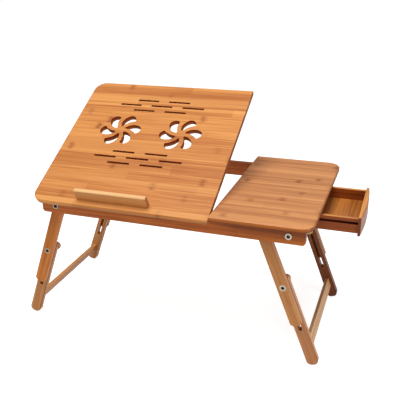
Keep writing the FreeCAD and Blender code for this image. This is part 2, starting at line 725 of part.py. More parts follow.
def make_upper_leg(hand, side):
    """Upper leg: round at the pivot, clipped at the lower end, with a seat for the knob bolt's head."""
    body = new_body("%s_%s_upper_leg" % (hand, side))
    x = PIVOT_X[hand]
    end = PIVOT_Z + " - upper_reach"
    outline = [
        (x + " - upper_width / 2", PIVOT_Z), (x + " - upper_width / 2", end + " + upper_clip"),
        (x + " - upper_width / 2 + upper_clip", end), (x + " + upper_width / 2 - upper_clip", end),
        (x + " + upper_width / 2", end + " + upper_clip"), (x + " + upper_width / 2", PIVOT_Z),
    ]
    thick = across(side, UPPER_OUTER, UPPER_INNER)
    slab(body, "XZ_Plane", outline, *thick)
    rod(body, "XZ_Plane", x, PIVOT_Z, "upper_width / 2", *thick)
    bore(body, "XZ_Plane", x, PIVOT_Z, "bolt_radius + running_fit", *thick)
    bore(body, "XZ_Plane", x, KNOB_Z, "bolt_radius", *thick)
    seat = across(side, UPPER_OUTER, UPPER_OUTER + " + bolt_head_thick")
    bore(body, "XZ_Plane", x, KNOB_Z, "bolt_head", *seat)
    return body


def make_lower_leg(hand, side):
    """Lower leg: a long slot for the knob bolt, a rounded foot and a mortise for the crossbar."""
    body = new_body("%s_%s_lower_leg" % (hand, side))
    x = PIVOT_X[hand]
    top = PIVOT_Z + " - knob_reach + slot_margin"
    end = PIVOT_Z + " - foot_reach"
    thick = across(side, LOWER_OUTER, LOWER_INNER)
    slab(body, "XZ_Plane", box_corners(x + " - lower_width / 2", end, x + " + lower_width / 2", top), *thick)
    foot = number(end)
    soften(body, "foot_round", lambda e: flat_at(e, foot) and e.BoundBox.XLength < 1e-4)
    head = number(top)
    bevel(body, "head_clip", lambda e: flat_at(e, head) and e.BoundBox.XLength < 1e-4)
    slot = ((x, KNOB_Z), (x, KNOB_Z + " - slot_travel"))
    cut(body, "XZ_Plane", lambda sketch: add_oval(sketch, *slot, "bolt_radius + slot_play"), *thick)
    mortise = across(side, LOWER_INNER + " - brace_tenon", LOWER_INNER)
    recess(body, "XZ_Plane", brace_corners(hand), *mortise)
    return body


def brace_corners(hand):
    x = PIVOT_X[hand]
    z = PIVOT_Z + " - brace_reach"
    return box_corners(x + " - brace_thick / 2", z + " - brace_width / 2",
                       x + " + brace_thick / 2", z + " + brace_width / 2")


def make_crossbar(hand):
    """Flat bar between the front and rear lower legs, near the feet."""
    body = new_body(hand + "_crossbar")
    end = LOWER_INNER + " - brace_tenon"
    slab(body, "XZ_Plane", brace_corners(hand), end, "table_depth - (%s)" % end)
    return body


def add_hex(sketch, u, v, radius):
    """A hexagon with its corners at the given radius."""
    corners = []
    for i in range(6):
        corners.append(("%s + %s * cos(%d)" % (u, radius, 60 * i), "%s + %s * sin(%d)" % (v, radius, 60 * i)))
    add_polygon(sketch, corners)


def add_bolt(body, side, u, v, head, tip, nut=None):
    """A socket head bolt along y from its head's outer face to its tip, with a sleeve nut if one is given."""
    seat = head + " + bolt_head_thick"
    rod(body, "XZ_Plane", u, v, "bolt_radius", *across(side, seat, tip))
    rod(body, "XZ_Plane", u, v, "bolt_head", *across(side, head, seat))
    cut(body, "XZ_Plane", lambda sketch: add_hex(sketch, u, v, "socket_radius"),
        *across(side, head, head + " + socket_depth"))
    if nut:
        rod(body, "XZ_Plane", u, v, "nut_radius", *across(side, nut, nut + " + nut_thick"))


def make_left_pivot_bolts():
    """Bolts through the rails that the left legs swing on, each closed by a sleeve nut."""
    body = new_body("left_pivot_bolts", several=True)
    nut = UPPER_INNER + " + side_play"
    for side in SIDES:
        add_bolt(body, side, PIVOT_X["left"], PIVOT_Z, "rail_inset - bolt_stand", nut + " + nut_thick", nut)
    return body


def make_right_pivot_pins():
    """Headed pins set blind in the rails, which the right legs swing on."""
    body = new_body("right_pivot_pins", several=True)
    head = UPPER_INNER + " + side_play"
    for side in SIDES:
        shank = across(side, RAIL_INNER + " - pin_depth", head)
        rod(body, "XZ_Plane", PIVOT_X["right"], PIVOT_Z, "bolt_radius", *shank)
        rim = across(side, head, head + " + nut_thick")
        rod(body, "XZ_Plane", PIVOT_X["right"], PIVOT_Z, "nut_radius", *rim)
    return body


def make_end_block_bolts():
    body = new_body("end_block_bolts", several=True)
    for side in SIDES:
        tip = "rail_inset - bolt_stand + bolt_head_thick + block_bolt_length"
        add_bolt(body, side, "table_length - block_bolt", PIVOT_Z, "rail_inset - bolt_stand", tip)
    return body


def make_knob_bolts(hand):
    """Bolts from the outer faces of the upper legs through the slots into the knobs."""
    body = new_body(hand + "_knob_bolts", several=True)
    for side in SIDES:
        add_bolt(body, side, PIVOT_X[hand], KNOB_Z, UPPER_OUTER, KNOB_FACE + " + knob_grip")
    return body


def make_knob(hand, side):
    """Oval wooden knob, screwed on the end of a knob bolt."""
    body = new_body("%s_%s_knob" % (hand, side))
    x = PIVOT_X[hand]
    low = (x, KNOB_Z + " - knob_stretch / 2")
    high = (x, KNOB_Z + " + knob_stretch / 2")
    extrude(body, "XZ_Plane", lambda sketch: add_oval(sketch, low, high, "knob_radius"),
            *across(side, KNOB_FACE, KNOB_FACE + " + knob_thick"))
    bore(body, "XZ_Plane", x, KNOB_Z, "bolt_radius + running_fit",
         *across(side, KNOB_FACE, KNOB_FACE + " + knob_grip + side_play"))
    return body


# ---------------------------------------------------------------- drawer

FLOOR_UNDER = DRAWER_BOTTOM + " + floor_lift"
FLOOR_TOP = FLOOR_UNDER + " + floor_thick"
FLOOR_BACK = DRAWER_BACK_END + " + drawer_wall - floor_tongue"
INSIDE = "drawer_width / 2 - drawer_wall"


def make_drawer_side(side):
    """A drawer side with the runner groove outside and the floor groove inside."""
    body = new_body("drawer_%s_side" % side)
    slab(body, "XZ_Plane", box_corners(DRAWER_BACK_END, DRAWER_BOTTOM, DRAWER_INNER_FACE, DRAWER_TOP),
         *beside_drawer(side, INSIDE, "drawer_width / 2"))
    groove = DRAWER_TOP + " - groove_drop"
    runner = box_corners(DRAWER_BACK_END, groove + " - groove_height", DRAWER_INNER_FACE, groove)
    recess(body, "XZ_Plane", runner,
           *beside_drawer(side, "drawer_width / 2 - groove_depth", "drawer_width / 2"))
    recess(body, "XZ_Plane", box_corners(FLOOR_BACK, FLOOR_UNDER, DRAWER_INNER_FACE, FLOOR_TOP),
           *beside_drawer(side, INSIDE, INSIDE + " + floor_tongue"))
    return body


def make_drawer_back():
    body = new_body("drawer_back")
    ends = ("drawer_center - (%s)" % INSIDE, "drawer_center + " + INSIDE)
    inner = DRAWER_BACK_END + " + drawer_wall"
    slab(body, "XZ_Plane", box_corners(DRAWER_BACK_END, DRAWER_BOTTOM, inner, DRAWER_TOP), *ends)
    recess(body, "XZ_Plane", box_corners(FLOOR_BACK, FLOOR_UNDER, inner, FLOOR_TOP), *ends)
    return body


def make_drawer_floor():
    body = new_body("drawer_floor")
    half = "(%s + floor_tongue)" % INSIDE
    corners = box_corners(FLOOR_BACK, "drawer_center - " + half, DRAWER_INNER_FACE, "drawer_center + " + half)
    slab(body, "XY_Plane", corners, FLOOR_UNDER, FLOOR_TOP)
    return body


def make_drawer_front():
    """The drawer's front: wider and taller than the box behind it, with a bowed outer face."""
    body = new_body("drawer_front")
    half = "(drawer_width / 2 + front_overhang)"
    near_y = "drawer_center - " + half
    far_y = "drawer_center + " + half
    inner = DRAWER_INNER_FACE
    edge = inner + " + front_edge_thick"

    def outline(sketch):
        a = Vector(number(inner), number(near_y), 0)
        b = Vector(number(edge), number(near_y), 0)
        c = Vector(number(edge), number(far_y), 0)
        d = Vector(number(inner), number(far_y), 0)
        bow = Vector(number(edge + " + front_bow"), number("drawer_center"), 0)
        sketch.addGeometry(Part.LineSegment(a, b), False)
        sketch.addGeometry(Part.Arc(b, bow, c), False)
        sketch.addGeometry(Part.LineSegment(c, d), False)
        sketch.addGeometry(Part.LineSegment(d, a), False)
        for first, second in ((0, 1), (1, 2), (2, 3), (3, 0)):
            sketch.addConstraint(Sketcher.Constraint("Coincident", first, 2, second, 1))
        fix_point(sketch, 0, 1, inner, near_y)
        fix_point(sketch, 0, 2, edge, near_y)
        fix_point(sketch, 2, 1, edge, far_y)
        fix_point(sketch, 2, 2, inner, far_y)
        fix(sketch, "Radius", "(%s^2 + front_bow^2) / (2 * front_bow)" % half, 1)

    extrude(body, "XY_Plane", outline, DRAWER_BOTTOM + " - front_lip", DRAWER_TOP + " + front_rise")
    flat = number(inner)
    bevel(body, "front_bevel",
          lambda e: not upright(e) and e.BoundBox.YLength > 20 and not near(middle(e).x, flat))
    return body


# ---------------------------------------------------------------- assembly

def about(point, axis, angle):
    """The placement that turns things about an axis through a point."""
    turn = Rotation(axis, angle)
    return Placement(point - turn.multVec(point), turn)


TILT = about(Vector(0, number(HINGE_Y), number(HINGE_Z)), Vector(1, 0, 0), number("tilt_angle"))
FOLD_OUT = about(Vector(0, number(PROP_PIN_Y), number(PROP_PIN_Z)), Vector(1, 0, 0),
                 -number("tilt_angle") - number(PROP_LEAN))
SPLAY = {
    hand: about(Vector(number(PIVOT_X[hand]), 0, number(PIVOT_Z)), Vector(0, 1, 0), sign * number("splay"))
    for hand, sign in (("left", 1), ("right", -1))
}
# How far each knob has been turned from lying along its leg.
KNOB_TURN = {("left", "front"): 85, ("left", "rear"): 25, ("right", "front"): 30, ("right", "rear"): 0}

pieces = []


def place(body, placement):
    body.Placement = placement
    pieces.append(body)


STILL = Placement()
for side in SIDES:
    place(make_rail(side), STILL)
    place(make_end_block(side), STILL)
    place(make_drawer_guide(side), STILL)
place(make_left_cross_rail(), STILL)
place(make_bearer("left_bearer", "-"), STILL)
place(make_bearer("right_bearer", "+"), STILL)
place(make_fixed_panel(), STILL)
place(make_hinge_leaves("hinge_fixed_leaves", True), STILL)
place(make_hinge_pins(), STILL)
place(make_left_pivot_bolts(), STILL)
place(make_right_pivot_pins(), STILL)
place(make_end_block_bolts(), STILL)

place(make_tilt_panel(), TILT)
place(make_book_stop(), TILT)
place(make_hinge_leaves("hinge_moving_leaves", False), TILT)
place(make_prop_blocks(), TILT)
place(make_prop_pins(), TILT)

place(make_prop_arm("left_prop_arm", "-"), TILT * FOLD_OUT)
place(make_prop_arm("right_prop_arm", "+"), TILT * FOLD_OUT)
place(make_prop_bar(), TILT * FOLD_OUT)

for hand in ("left", "right"):
    for side in SIDES:
        place(make_upper_leg(hand, side), SPLAY[hand])
        place(make_lower_leg(hand, side), SPLAY[hand])
        bolt = Vector(number(PIVOT_X[hand]), 0, number(KNOB_Z))
        turned = about(bolt, Vector(0, 1, 0), KNOB_TURN[hand, side])
        place(make_knob(hand, side), SPLAY[hand] * turned)
    place(make_knob_bolts(hand), SPLAY[hand])
    place(make_crossbar(hand), SPLAY[hand])

for side in SIDES:
    place(make_drawer_side(side), STILL)
place(make_drawer_back(), STILL)
place(make_drawer_floor(), STILL)
place(make_drawer_front(), STILL)
doc.recompute()


# ---------------------------------------------------------------- checks, origin and export

def check_document():
    faults = [o.Name for o in doc.Objects if set(o.State) & {"Invalid", "Error"}]
    faults += [b.Label for b in pieces if b.Shape.isNull() or not b.Shape.isValid() or not b.Shape.Solids]
    if faults:
        raise RuntimeError("failed: " + ", ".join(faults))


check_document()
box = FreeCAD.BoundBox()
for body in pieces:
    box.add(body.Shape.optimalBoundingBox(False))
origin = Vector(-(box.XMin + box.XMax) / 2, -(box.YMin + box.YMax) / 2, -box.ZMin)
for body in pieces:
    body.Placement = Placement(origin, Rotation()) * body.Placement
doc.recompute()
check_document()

os.makedirs(NODE_FOLDER, exist_ok=True)
for body in pieces:
    body.Shape.exportStep(os.path.join(NODE_FOLDER, body.Label + ".step"))


def report_point(name, placement, x, y, z):
    """Prints a place on the finished desk, for the joints."""
    spot = Placement(origin, Rotation()).multVec(placement.multVec(Vector(number(x), number(y), number(z))))
    print("%s %.4f %.4f %.4f" % (name, spot.x, spot.y, spot.z))


report_point("origin", STILL, "0", "0", "0")
report_point("tilt", STILL, PROP_MIDDLE, HINGE_Y, HINGE_Z)
report_point("prop", TILT, PROP_MIDDLE, PROP_PIN_Y, PROP_PIN_Z)
report_point("bar", TILT * FOLD_OUT, PROP_MIDDLE, FLAT_BAR_Y, PROP_PIN_Z)
for hand in ("left", "right"):
    report_point(hand + "_fold", STILL, PIVOT_X[hand], "table_depth / 2", PIVOT_Z)
    for side in SIDES:
        face = across(side, KNOB_FACE, KNOB_FACE)[0]
        report_point("%s_%s_knob" % (hand, side), SPLAY[hand], PIVOT_X[hand], face, KNOB_Z)
print("size %.3f %.3f %.3f" % (box.XLength, box.YLength, box.ZLength))
print("pieces", len(pieces), "solids", sum(len(b.Shape.Solids) for b in pieces))
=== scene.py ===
# %% [markdown]
# # A bamboo lap desk
# The desk is made of pressed bamboo boards: strips of cane glued side by side, planed flat and given a thin
# satin lacquer.  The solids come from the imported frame.  This lesson gives them their finishes, adds the
# small fittings that a joiner screws on last, and sets up a plain studio.

# %% Load the frame
import json
import math

import bpy
import numpy as np
from mathutils import Matrix, Vector


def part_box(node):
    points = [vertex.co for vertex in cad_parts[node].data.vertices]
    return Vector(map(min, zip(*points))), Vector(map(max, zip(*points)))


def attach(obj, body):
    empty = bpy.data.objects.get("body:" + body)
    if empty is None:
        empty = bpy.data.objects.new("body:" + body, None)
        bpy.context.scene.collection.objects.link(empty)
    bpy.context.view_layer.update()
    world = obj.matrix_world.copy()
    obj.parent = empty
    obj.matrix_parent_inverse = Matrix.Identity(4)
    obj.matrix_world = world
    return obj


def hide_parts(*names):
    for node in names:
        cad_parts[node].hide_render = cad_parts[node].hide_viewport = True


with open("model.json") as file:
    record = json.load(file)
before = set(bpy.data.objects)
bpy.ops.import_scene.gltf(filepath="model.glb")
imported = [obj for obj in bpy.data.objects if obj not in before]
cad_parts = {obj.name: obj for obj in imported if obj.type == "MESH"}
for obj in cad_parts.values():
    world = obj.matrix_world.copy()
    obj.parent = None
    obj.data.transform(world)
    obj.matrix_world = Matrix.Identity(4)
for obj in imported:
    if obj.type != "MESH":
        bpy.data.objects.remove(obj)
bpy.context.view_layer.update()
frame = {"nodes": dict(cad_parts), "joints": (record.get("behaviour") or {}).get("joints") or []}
nodes = frame["nodes"]
joints = {joint["name"]: joint for joint in frame["joints"]}
print("nodes:", len(nodes), "joints:", len(joints))

# %% [markdown]
# ## The camera
# The desk is seen from its right front corner, a little from above.  A camera that is placed by the point
# it looks at, its distance and three angles can be turned round the desk without losing it.  The lens is
# given as the focal length in pixels of a square frame, which is the number that perspective is built on.

# %% Camera
fixed_low, fixed_high = (Vector(corner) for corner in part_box("fixed_panel"))
TABLE_LENGTH = 0.550
AZIMUTH = math.radians(19.888)
PITCH = math.radians(22.441)
ROLL = math.radians(-1.216)
DISTANCE = 1.25200
FOCAL_PIXELS = 604.615
FRAME_PIXELS = 400
SENSOR = 36.0
LENS_SHIFT = (-0.0050, -0.0054)
FAR_END = 30.0
AIM_FROM_LEFT = 0.29197
AIM_BELOW_TOP = 0.04212

target = Vector((fixed_high.x - TABLE_LENGTH + AIM_FROM_LEFT, (fixed_low.y + fixed_high.y) / 2,
                 fixed_high.z - AIM_BELOW_TOP))
back = Vector((math.sin(AZIMUTH) * math.cos(PITCH), -math.cos(AZIMUTH) * math.cos(PITCH), math.sin(PITCH)))
level = Vector((math.cos(AZIMUTH), math.sin(AZIMUTH), 0))
upward = back.cross(level)
right = math.cos(ROLL) * level + math.sin(ROLL) * upward
top = math.cos(ROLL) * upward - math.sin(ROLL) * level

camera = bpy.data.objects.new("camera", bpy.data.cameras.new("camera"))
place = Matrix((right, top, back)).transposed().to_4x4()
place.translation = target + back * DISTANCE
camera.matrix_world = place
camera.data.sensor_width = SENSOR
camera.data.lens = FOCAL_PIXELS / FRAME_PIXELS * SENSOR
camera.data.shift_x, camera.data.shift_y = LENS_SHIFT
camera.data.clip_end = FAR_END
bpy.context.scene.collection.objects.link(camera)
bpy.context.scene.camera = camera
print("camera at", [round(v, 3) for v in place.translation], "lens", round(camera.data.lens, 1), "mm")

# %% [markdown]
# ## Steps of a shader
# A shader is a graph of small steps.  Each helper adds one kind of step and hands back its output, so that
# the lines that follow read as a formula.  The first few do arithmetic on numbers and places.


# %% Helpers for numbers
def feed(tree, socket, value):
    """Puts a plain value on a socket, or links another node's output to it."""
    if isinstance(value, (int, float, tuple, list, Vector)):
        socket.default_value = value
    else:
        tree.links.new(value, socket)


def do(tree, operation, *values, clamp=False):
    """One arithmetic step on outputs or plain numbers."""
    node = tree.nodes.new("ShaderNodeMath")
    node.operation = operation
    node.use_clamp = clamp
    for socket, value in zip(node.inputs, values):
        feed(tree, socket, value)
    return node.outputs[0]


def plus(tree, a, b):
    """a + b"""
    return do(tree, "ADD", a, b)


def minus(tree, a, b):
    """a - b"""
    return do(tree, "SUBTRACT", a, b)


def times(tree, a, b):
    """a * b"""
    return do(tree, "MULTIPLY", a, b)


def vector_of(tree, x, y, z):
    """One vector of three numbers."""
    node = tree.nodes.new("ShaderNodeCombineXYZ")
    for socket, value in zip(node.inputs, (x, y, z)):
        feed(tree, socket, value)
    return node.outputs[0]


def dot(tree, vector, axis, origin=None):
    """How far a vector reaches along an axis, measured from origin."""
    if origin is not None:
        shift = tree.nodes.new("ShaderNodeVectorMath")
        shift.operation = "SUBTRACT"
        feed(tree, shift.inputs[0], vector)
        feed(tree, shift.inputs[1], origin)
        vector = shift.outputs[0]
    node = tree.nodes.new("ShaderNodeVectorMath")
    node.operation = "DOT_PRODUCT"
    feed(tree, node.inputs[0], vector)
    feed(tree, node.inputs[1], axis)
    return node.outputs["Value"]


print("number steps:", [step.__name__ for step in (do, plus, minus, times, dot)])

# %% [markdown]
# Wood is never even, so the next helpers bring in chance: a noise that flows from value to value, and a
# dice that gives each strip of cane its own fixed number.  A ramp picks out a part of such a number.


# %% Helpers for chance
def noise(tree, vector, scale=1.0, detail=2.0, roughness=0.5):
    """Flowing noise from 0 to 1."""
    node = tree.nodes.new("ShaderNodeTexNoise")
    for label, value in (("Vector", vector), ("Scale", scale), ("Detail", detail), ("Roughness", roughness)):
        feed(tree, node.inputs[label], value)
    return node.outputs["Fac"]


def chance(tree, *parts):
    """A fixed random number from 0 to 1 for each combination of up to three numbers."""
    node = tree.nodes.new("ShaderNodeTexWhiteNoise")
    node.noise_dimensions = "3D"
    feed(tree, node.inputs["Vector"], vector_of(tree, *(list(parts) + [0.0] * (3 - len(parts)))))
    return node.outputs["Value"]


def ramp(tree, value, low, high, to_low=0.0, to_high=1.0):
    """Maps low..high to to_low..to_high, clamped, with soft ends."""
    node = tree.nodes.new("ShaderNodeMapRange")
    node.interpolation_type = "SMOOTHSTEP"
    ends = (("Value", value), ("From Min", low), ("From Max", high), ("To Min", to_low), ("To Max", to_high))
    for label, number in ends:
        feed(tree, node.inputs[label], number)
    return node.outputs["Result"]


print("chance steps:", [step.__name__ for step in (noise, chance, ramp)])

# %% [markdown]
# A colour is easiest to write as it looks on a display, from 0 to 255, but light adds up in linear numbers.
# So each written colour is turned into linear light once, and all mixing is done there.


# %% Helpers for colours
def srgb(*display):
    """Linear colour, with alpha, of three 0..255 display values."""
    shares = np.array(display) / 255
    linear = np.where(shares <= 0.04045, shares / 12.92, ((shares + 0.055) / 1.055) ** 2.4)
    return (*(float(v) for v in linear), 1.0)


def mix(tree, factor, a, b, blend="MIX"):
    """A colour between a and b, or a tinted by b where the blend is MULTIPLY."""
    node = tree.nodes.new("ShaderNodeMix")
    node.data_type = "RGBA"
    node.blend_type = blend
    for socket, value in ((node.inputs[0], factor), (node.inputs[6], a), (node.inputs[7], b)):
        feed(tree, socket, value)
    return node.outputs[2]


WHITE = srgb(255, 255, 255)
print("display 128 is", round(srgb(128, 128, 128)[0], 3), "of full light")

# %% [markdown]
# Bamboo, the darkening for char and painted shade, plating and the painted shade in bolt sockets each appear
# on several pieces.  Such an effect is built once as a node group, a shader part with named inputs, and each
# material places it with its own values.


# %% Helpers for node groups
def new_group(name, inputs, outputs):
    """An empty node group: its tree, what it is given and where its results go."""
    tree = bpy.data.node_groups.new(name, "ShaderNodeTree")
    for label, kind, value in inputs:
        socket = tree.interface.new_socket(label, in_out="INPUT", socket_type="NodeSocket" + kind)
        socket.default_value = value
    for label, kind in outputs:
        tree.interface.new_socket(label, in_out="OUTPUT", socket_type="NodeSocket" + kind)
    return tree, tree.nodes.new("NodeGroupInput").outputs, tree.nodes.new("NodeGroupOutput").inputs


def use_group(tree, group, **values):
    """Places a group in a material; joint_share=0.2 sets the input that is called Joint share."""
    node = tree.nodes.new("ShaderNodeGroup")
    node.node_tree = group
    for label, value in values.items():
        feed(tree, node.inputs[label.replace("_", " ").capitalize()], value)
    return node.outputs


print("group steps:", [step.__name__ for step in (new_group, use_group)])

# %% [markdown]
# ## Bamboo
# A pressed board shows three things: strips 10 to 20 mm wide that differ in tone, fine fibres that run
# along them, and here and there a soft brown mark right across one strip, where the cane had a joint.
# At a sawn end the fibres are cut across, and the wood looks stippled.  All of it hangs on three numbers
# at each point: its place along the grain, across it, and through the board.  A node group takes those
# three, so that every board can be cut from the same cane, each in its own direction.

# %% What the bamboo group takes and gives
BAMBOO_INPUTS = (
    ("Grain", "Float", 0.0), ("Cross", "Float", 0.0), ("Depth", "Float", 0.0), ("End on", "Float", 0.0),
    ("Edge on", "Float", 0.0), ("Edge", "Color", WHITE), ("Light", "Color", srgb(230, 165, 100)),
    ("Dark", "Color", srgb(185, 110, 55)), ("Joint", "Color", srgb(120, 60, 25)),
    ("Sawn", "Color", srgb(170, 110, 70)), ("Strip", "Float", 0.02), ("Cane", "Float", 0.42),
    ("Variety", "Float", 0.5), ("Bands", "Float", 0.0), ("Streaks", "Float", 1.0),
    ("Joint share", "Float", 0.6), ("Board from", "Float", 9.0), ("Board to", "Float", 9.1),
    ("Board share", "Float", 0.0), ("Seed", "Float", 0.0))
BAMBOO_OUTPUTS = (("Color", "Color"), ("Roughness", "Float"), ("Height", "Float"))
print("bamboo group:", len(BAMBOO_INPUTS), "inputs,", len(BAMBOO_OUTPUTS), "outputs")

# %% [markdown]
# ### Strips
# A board is cut into strips across, and each strip is a row of canes laid end to end.  Counting in whole
# numbers finds the strip and the cane of a point, and dice on those counts make every cane its own.

# %% Strips and canes
BEND_RATE = 3.0
BEND = 0.003
STRIPS_PER_SEED = 0.37
CANE_STAGGER = 7.0


def strips_and_canes(tree, given):
    """Where a point lies: its strip, its distance from the strip's middle, and its count of canes.

    With g along the grain and c across it, in metres, the strip is floor(c / strip width), and the piece
    of cane in it is floor(g / cane length + random(strip)).
    """
    grain, seed = given["Grain"], given["Seed"]
    bend = noise(tree, vector_of(tree, times(tree, grain, BEND_RATE), seed, 0.0), detail=1.0)
    bent = plus(tree, given["Cross"], times(tree, minus(tree, bend, 0.5), BEND))
    strips = plus(tree, do(tree, "DIVIDE", bent, given["Strip"]), times(tree, seed, STRIPS_PER_SEED))
    strip = do(tree, "FLOOR", strips)
    off_middle = do(tree, "ABSOLUTE", minus(tree, minus(tree, strips, strip), 0.5))
    stagger = times(tree, chance(tree, strip, seed), CANE_STAGGER)
    canes = plus(tree, do(tree, "DIVIDE", grain, given["Cane"]), stagger)
    return strip, off_middle, canes


print("a seed shifts a board by", STRIPS_PER_SEED, "strips")

# %% [markdown]
# ### Fibres
# Cane is all fibres, so every change of tone in it is long and thin.  One noise, drawn out along the grain
# at four scales, gives broad zones, bands, streaks and single fibres.

# %% Streaks and fibres
# Steps of the noise per metre along and across the grain, its detail, and its shift for each seed.
ZONE = (1.6, 16.0, 1.0, 3.1)
BAND = (2.4, 85.0, 1.0, 4.3)
STREAK = (6.0, 230.0, 2.0, 5.7)
FIBRE = (16.0, 1100.0, 2.0, 7.9)


def drawn_out(tree, given, along, across, detail, lift):
    """Noise from -0.5 to 0.5 at (along g, across c, across d + lift seed), d being the depth."""
    lifted = plus(tree, times(tree, given["Depth"], across), times(tree, given["Seed"], lift))
    spot = vector_of(tree, times(tree, given["Grain"], along), times(tree, given["Cross"], across), lifted)
    return minus(tree, noise(tree, spot, detail=detail, roughness=0.6), 0.5)


print("a fibre is about", round(1000 / FIBRE[1], 1), "mm wide and", round(1000 / FIBRE[0]), "mm long")

# %% [markdown]
# ### Cane joints
# A living cane has a ring every hand's breadth or so.  Split and planed, the ring stays as a soft brown
# band with a thin dark line in it, right across the strip and a little frayed.  Some joints are faint.

# %% Cane joints
FIRST_PLACE, PLACES = 0.15, 0.70
JOINT_WAVE_RATE = 170.0
JOINT_WAVE = 0.007
JOINT_FRAY = 0.006
BORDER_OF_STRIP = (0.34, 0.5)
HALO = (0.002, 0.011)
CORE = (0.0004, 0.0026)
HALO_SHARE = 0.62
CORE_SHARE = 0.40
FAINTEST, STRONGEST = 0.30, 0.78


def cane_joint(tree, given, strip, off_middle, canes, cane, fibre):
    """The darkness of the joint from 0 to 1, and of the thin line in it.

    Each cane's joint sits at FIRST_PLACE + PLACES random of its length.  The distance from it, bent by a
    wave and frayed by the fibres, fades once over the band's width and once over the line's.  The numbers
    3, 5 and 7 only make three different dice.
    """
    spot = plus(tree, times(tree, chance(tree, cane, strip, 3.0), PLACES), FIRST_PLACE)
    away = times(tree, minus(tree, minus(tree, canes, cane), spot), given["Cane"])
    wave_place = vector_of(tree, times(tree, given["Cross"], JOINT_WAVE_RATE), strip, cane)
    wave = minus(tree, noise(tree, wave_place, detail=1.0), 0.5)
    away = plus(tree, away, times(tree, wave, JOINT_WAVE))
    away = do(tree, "ABSOLUTE", plus(tree, away, times(tree, fibre, JOINT_FRAY)))
    has_joint = do(tree, "LESS_THAN", chance(tree, strip, cane, 5.0), given["Joint share"])
    inside = times(tree, ramp(tree, off_middle, *BORDER_OF_STRIP, 1.0, 0.0), has_joint)
    halo = times(tree, ramp(tree, away, *HALO, 1.0, 0.0), inside)
    core = times(tree, ramp(tree, away, *CORE, 1.0, 0.0), inside)
    strength = ramp(tree, chance(tree, cane, strip, 7.0), 0.0, 1.0, FAINTEST, STRONGEST)
    both = plus(tree, times(tree, halo, HALO_SHARE), times(tree, core, CORE_SHARE))
    return times(tree, both, strength), core


print("a joint is about", round(2000 * HALO[1]), "mm long")

# %% [markdown]
# ### The tone of the wood
# All these parts shift one number between the light and the dark tone of the board.  That way a board
# keeps to its own two tones, however lively it is.  A board may also have one plank of another tone.

# %% From light to dark
MIDDLE_TONE = 0.42
ZONE_GAIN = 2.2
STREAK_GAIN = 2.6
FIBRE_GAIN = 0.9
PLANK_BORDER = 0.0015


def darkness(tree, given, tone, fibre):
    """A number from 0, the light tone, to 1, the dark one; tone is the cane's own random number."""
    cross, variety = given["Cross"], given["Variety"]
    near, far = given["Board from"], given["Board to"]
    plank = times(tree, ramp(tree, cross, near, plus(tree, near, PLANK_BORDER)),
                  ramp(tree, cross, far, plus(tree, far, PLANK_BORDER), 1.0, 0.0))
    dark = plus(tree, MIDDLE_TONE, times(tree, minus(tree, tone, 0.5), variety))
    for part, gain in ((drawn_out(tree, given, *ZONE), times(tree, variety, ZONE_GAIN)),
                       (drawn_out(tree, given, *BAND), given["Bands"]),
                       (drawn_out(tree, given, *STREAK), times(tree, given["Streaks"], STREAK_GAIN)),
                       (fibre, FIBRE_GAIN)):
        dark = plus(tree, dark, times(tree, part, gain))
    return do(tree, "ADD", dark, times(tree, plank, given["Board share"]), clamp=True)


print("a plain cane lies", MIDDLE_TONE, "of the way from light to dark")

# %% [markdown]
# ### The whole group
# The long edge of a board shows the same cane from its side, in a tone of its own, which on the fixed panel
# also holds painted shade, and on the drawer a painted highlight.  A sawn end shows cut fibres as stipples
# and is rougher.  Glue leaves a faint seam between the strips.

# %% The bamboo group
SEAM = (0.465, 0.5)
SEAM_SHARE = 0.16
TURNED = (0.6, 0.85)  # how squarely a face looks along the grain, or across it, to show its end or edge
STIPPLES = 1500.0
STIPPLES_ALONG = 60.0
STIPPLE = (0.35, 0.70, 0.0, 0.45)  # from this noise to that, from no share of the joint's tone to this share
SATIN = 0.46
FIBRE_ROUGHNESS, JOINT_ROUGHNESS, SAWN_ROUGHNESS = 0.35, 0.15, 0.20
SEAM_DEPTH, JOINT_DEPTH = 0.5, 0.3


def make_bamboo_group():
    """Strips across, fibres along, cane joints, long edges and sawn ends, from three places and a seed."""
    tree, given, result = new_group("bamboo", BAMBOO_INPUTS, BAMBOO_OUTPUTS)
    strip, off_middle, canes = strips_and_canes(tree, given)
    cane = do(tree, "FLOOR", canes)
    fibre = drawn_out(tree, given, *FIBRE)
    joint, core = cane_joint(tree, given, strip, off_middle, canes, cane, fibre)
    dark = darkness(tree, given, chance(tree, strip, cane, given["Seed"]), fibre)
    color = mix(tree, dark, given["Light"], given["Dark"])
    color = mix(tree, joint, color, given["Joint"])
    seam = ramp(tree, off_middle, *SEAM)
    color = mix(tree, times(tree, seam, SEAM_SHARE), color, given["Joint"])
    color = mix(tree, ramp(tree, given["Edge on"], *TURNED), color, given["Edge"], blend="MULTIPLY")

    stipple_place = [times(tree, given[label], rate) for label, rate in
                     (("Cross", STIPPLES), ("Depth", STIPPLES), ("Grain", STIPPLES_ALONG))]
    stipple = noise(tree, vector_of(tree, *stipple_place), detail=2.0)
    sawn = mix(tree, ramp(tree, stipple, *STIPPLE), given["Sawn"], given["Joint"])
    end_on = ramp(tree, given["End on"], *TURNED)
    feed(tree, result["Color"], mix(tree, end_on, color, sawn))

    rough = plus(tree, SATIN, times(tree, fibre, FIBRE_ROUGHNESS))
    rough = plus(tree, rough, times(tree, joint, JOINT_ROUGHNESS))
    feed(tree, result["Roughness"], plus(tree, rough, times(tree, end_on, SAWN_ROUGHNESS)))
    height = minus(tree, fibre, times(tree, seam, SEAM_DEPTH))
    height = minus(tree, height, times(tree, core, JOINT_DEPTH))
    feed(tree, result["Height"], plus(tree, height, times(tree, end_on, stipple)))
    return tree


bamboo_group = make_bamboo_group()
print("bamboo group:", len(bamboo_group.nodes), "nodes")
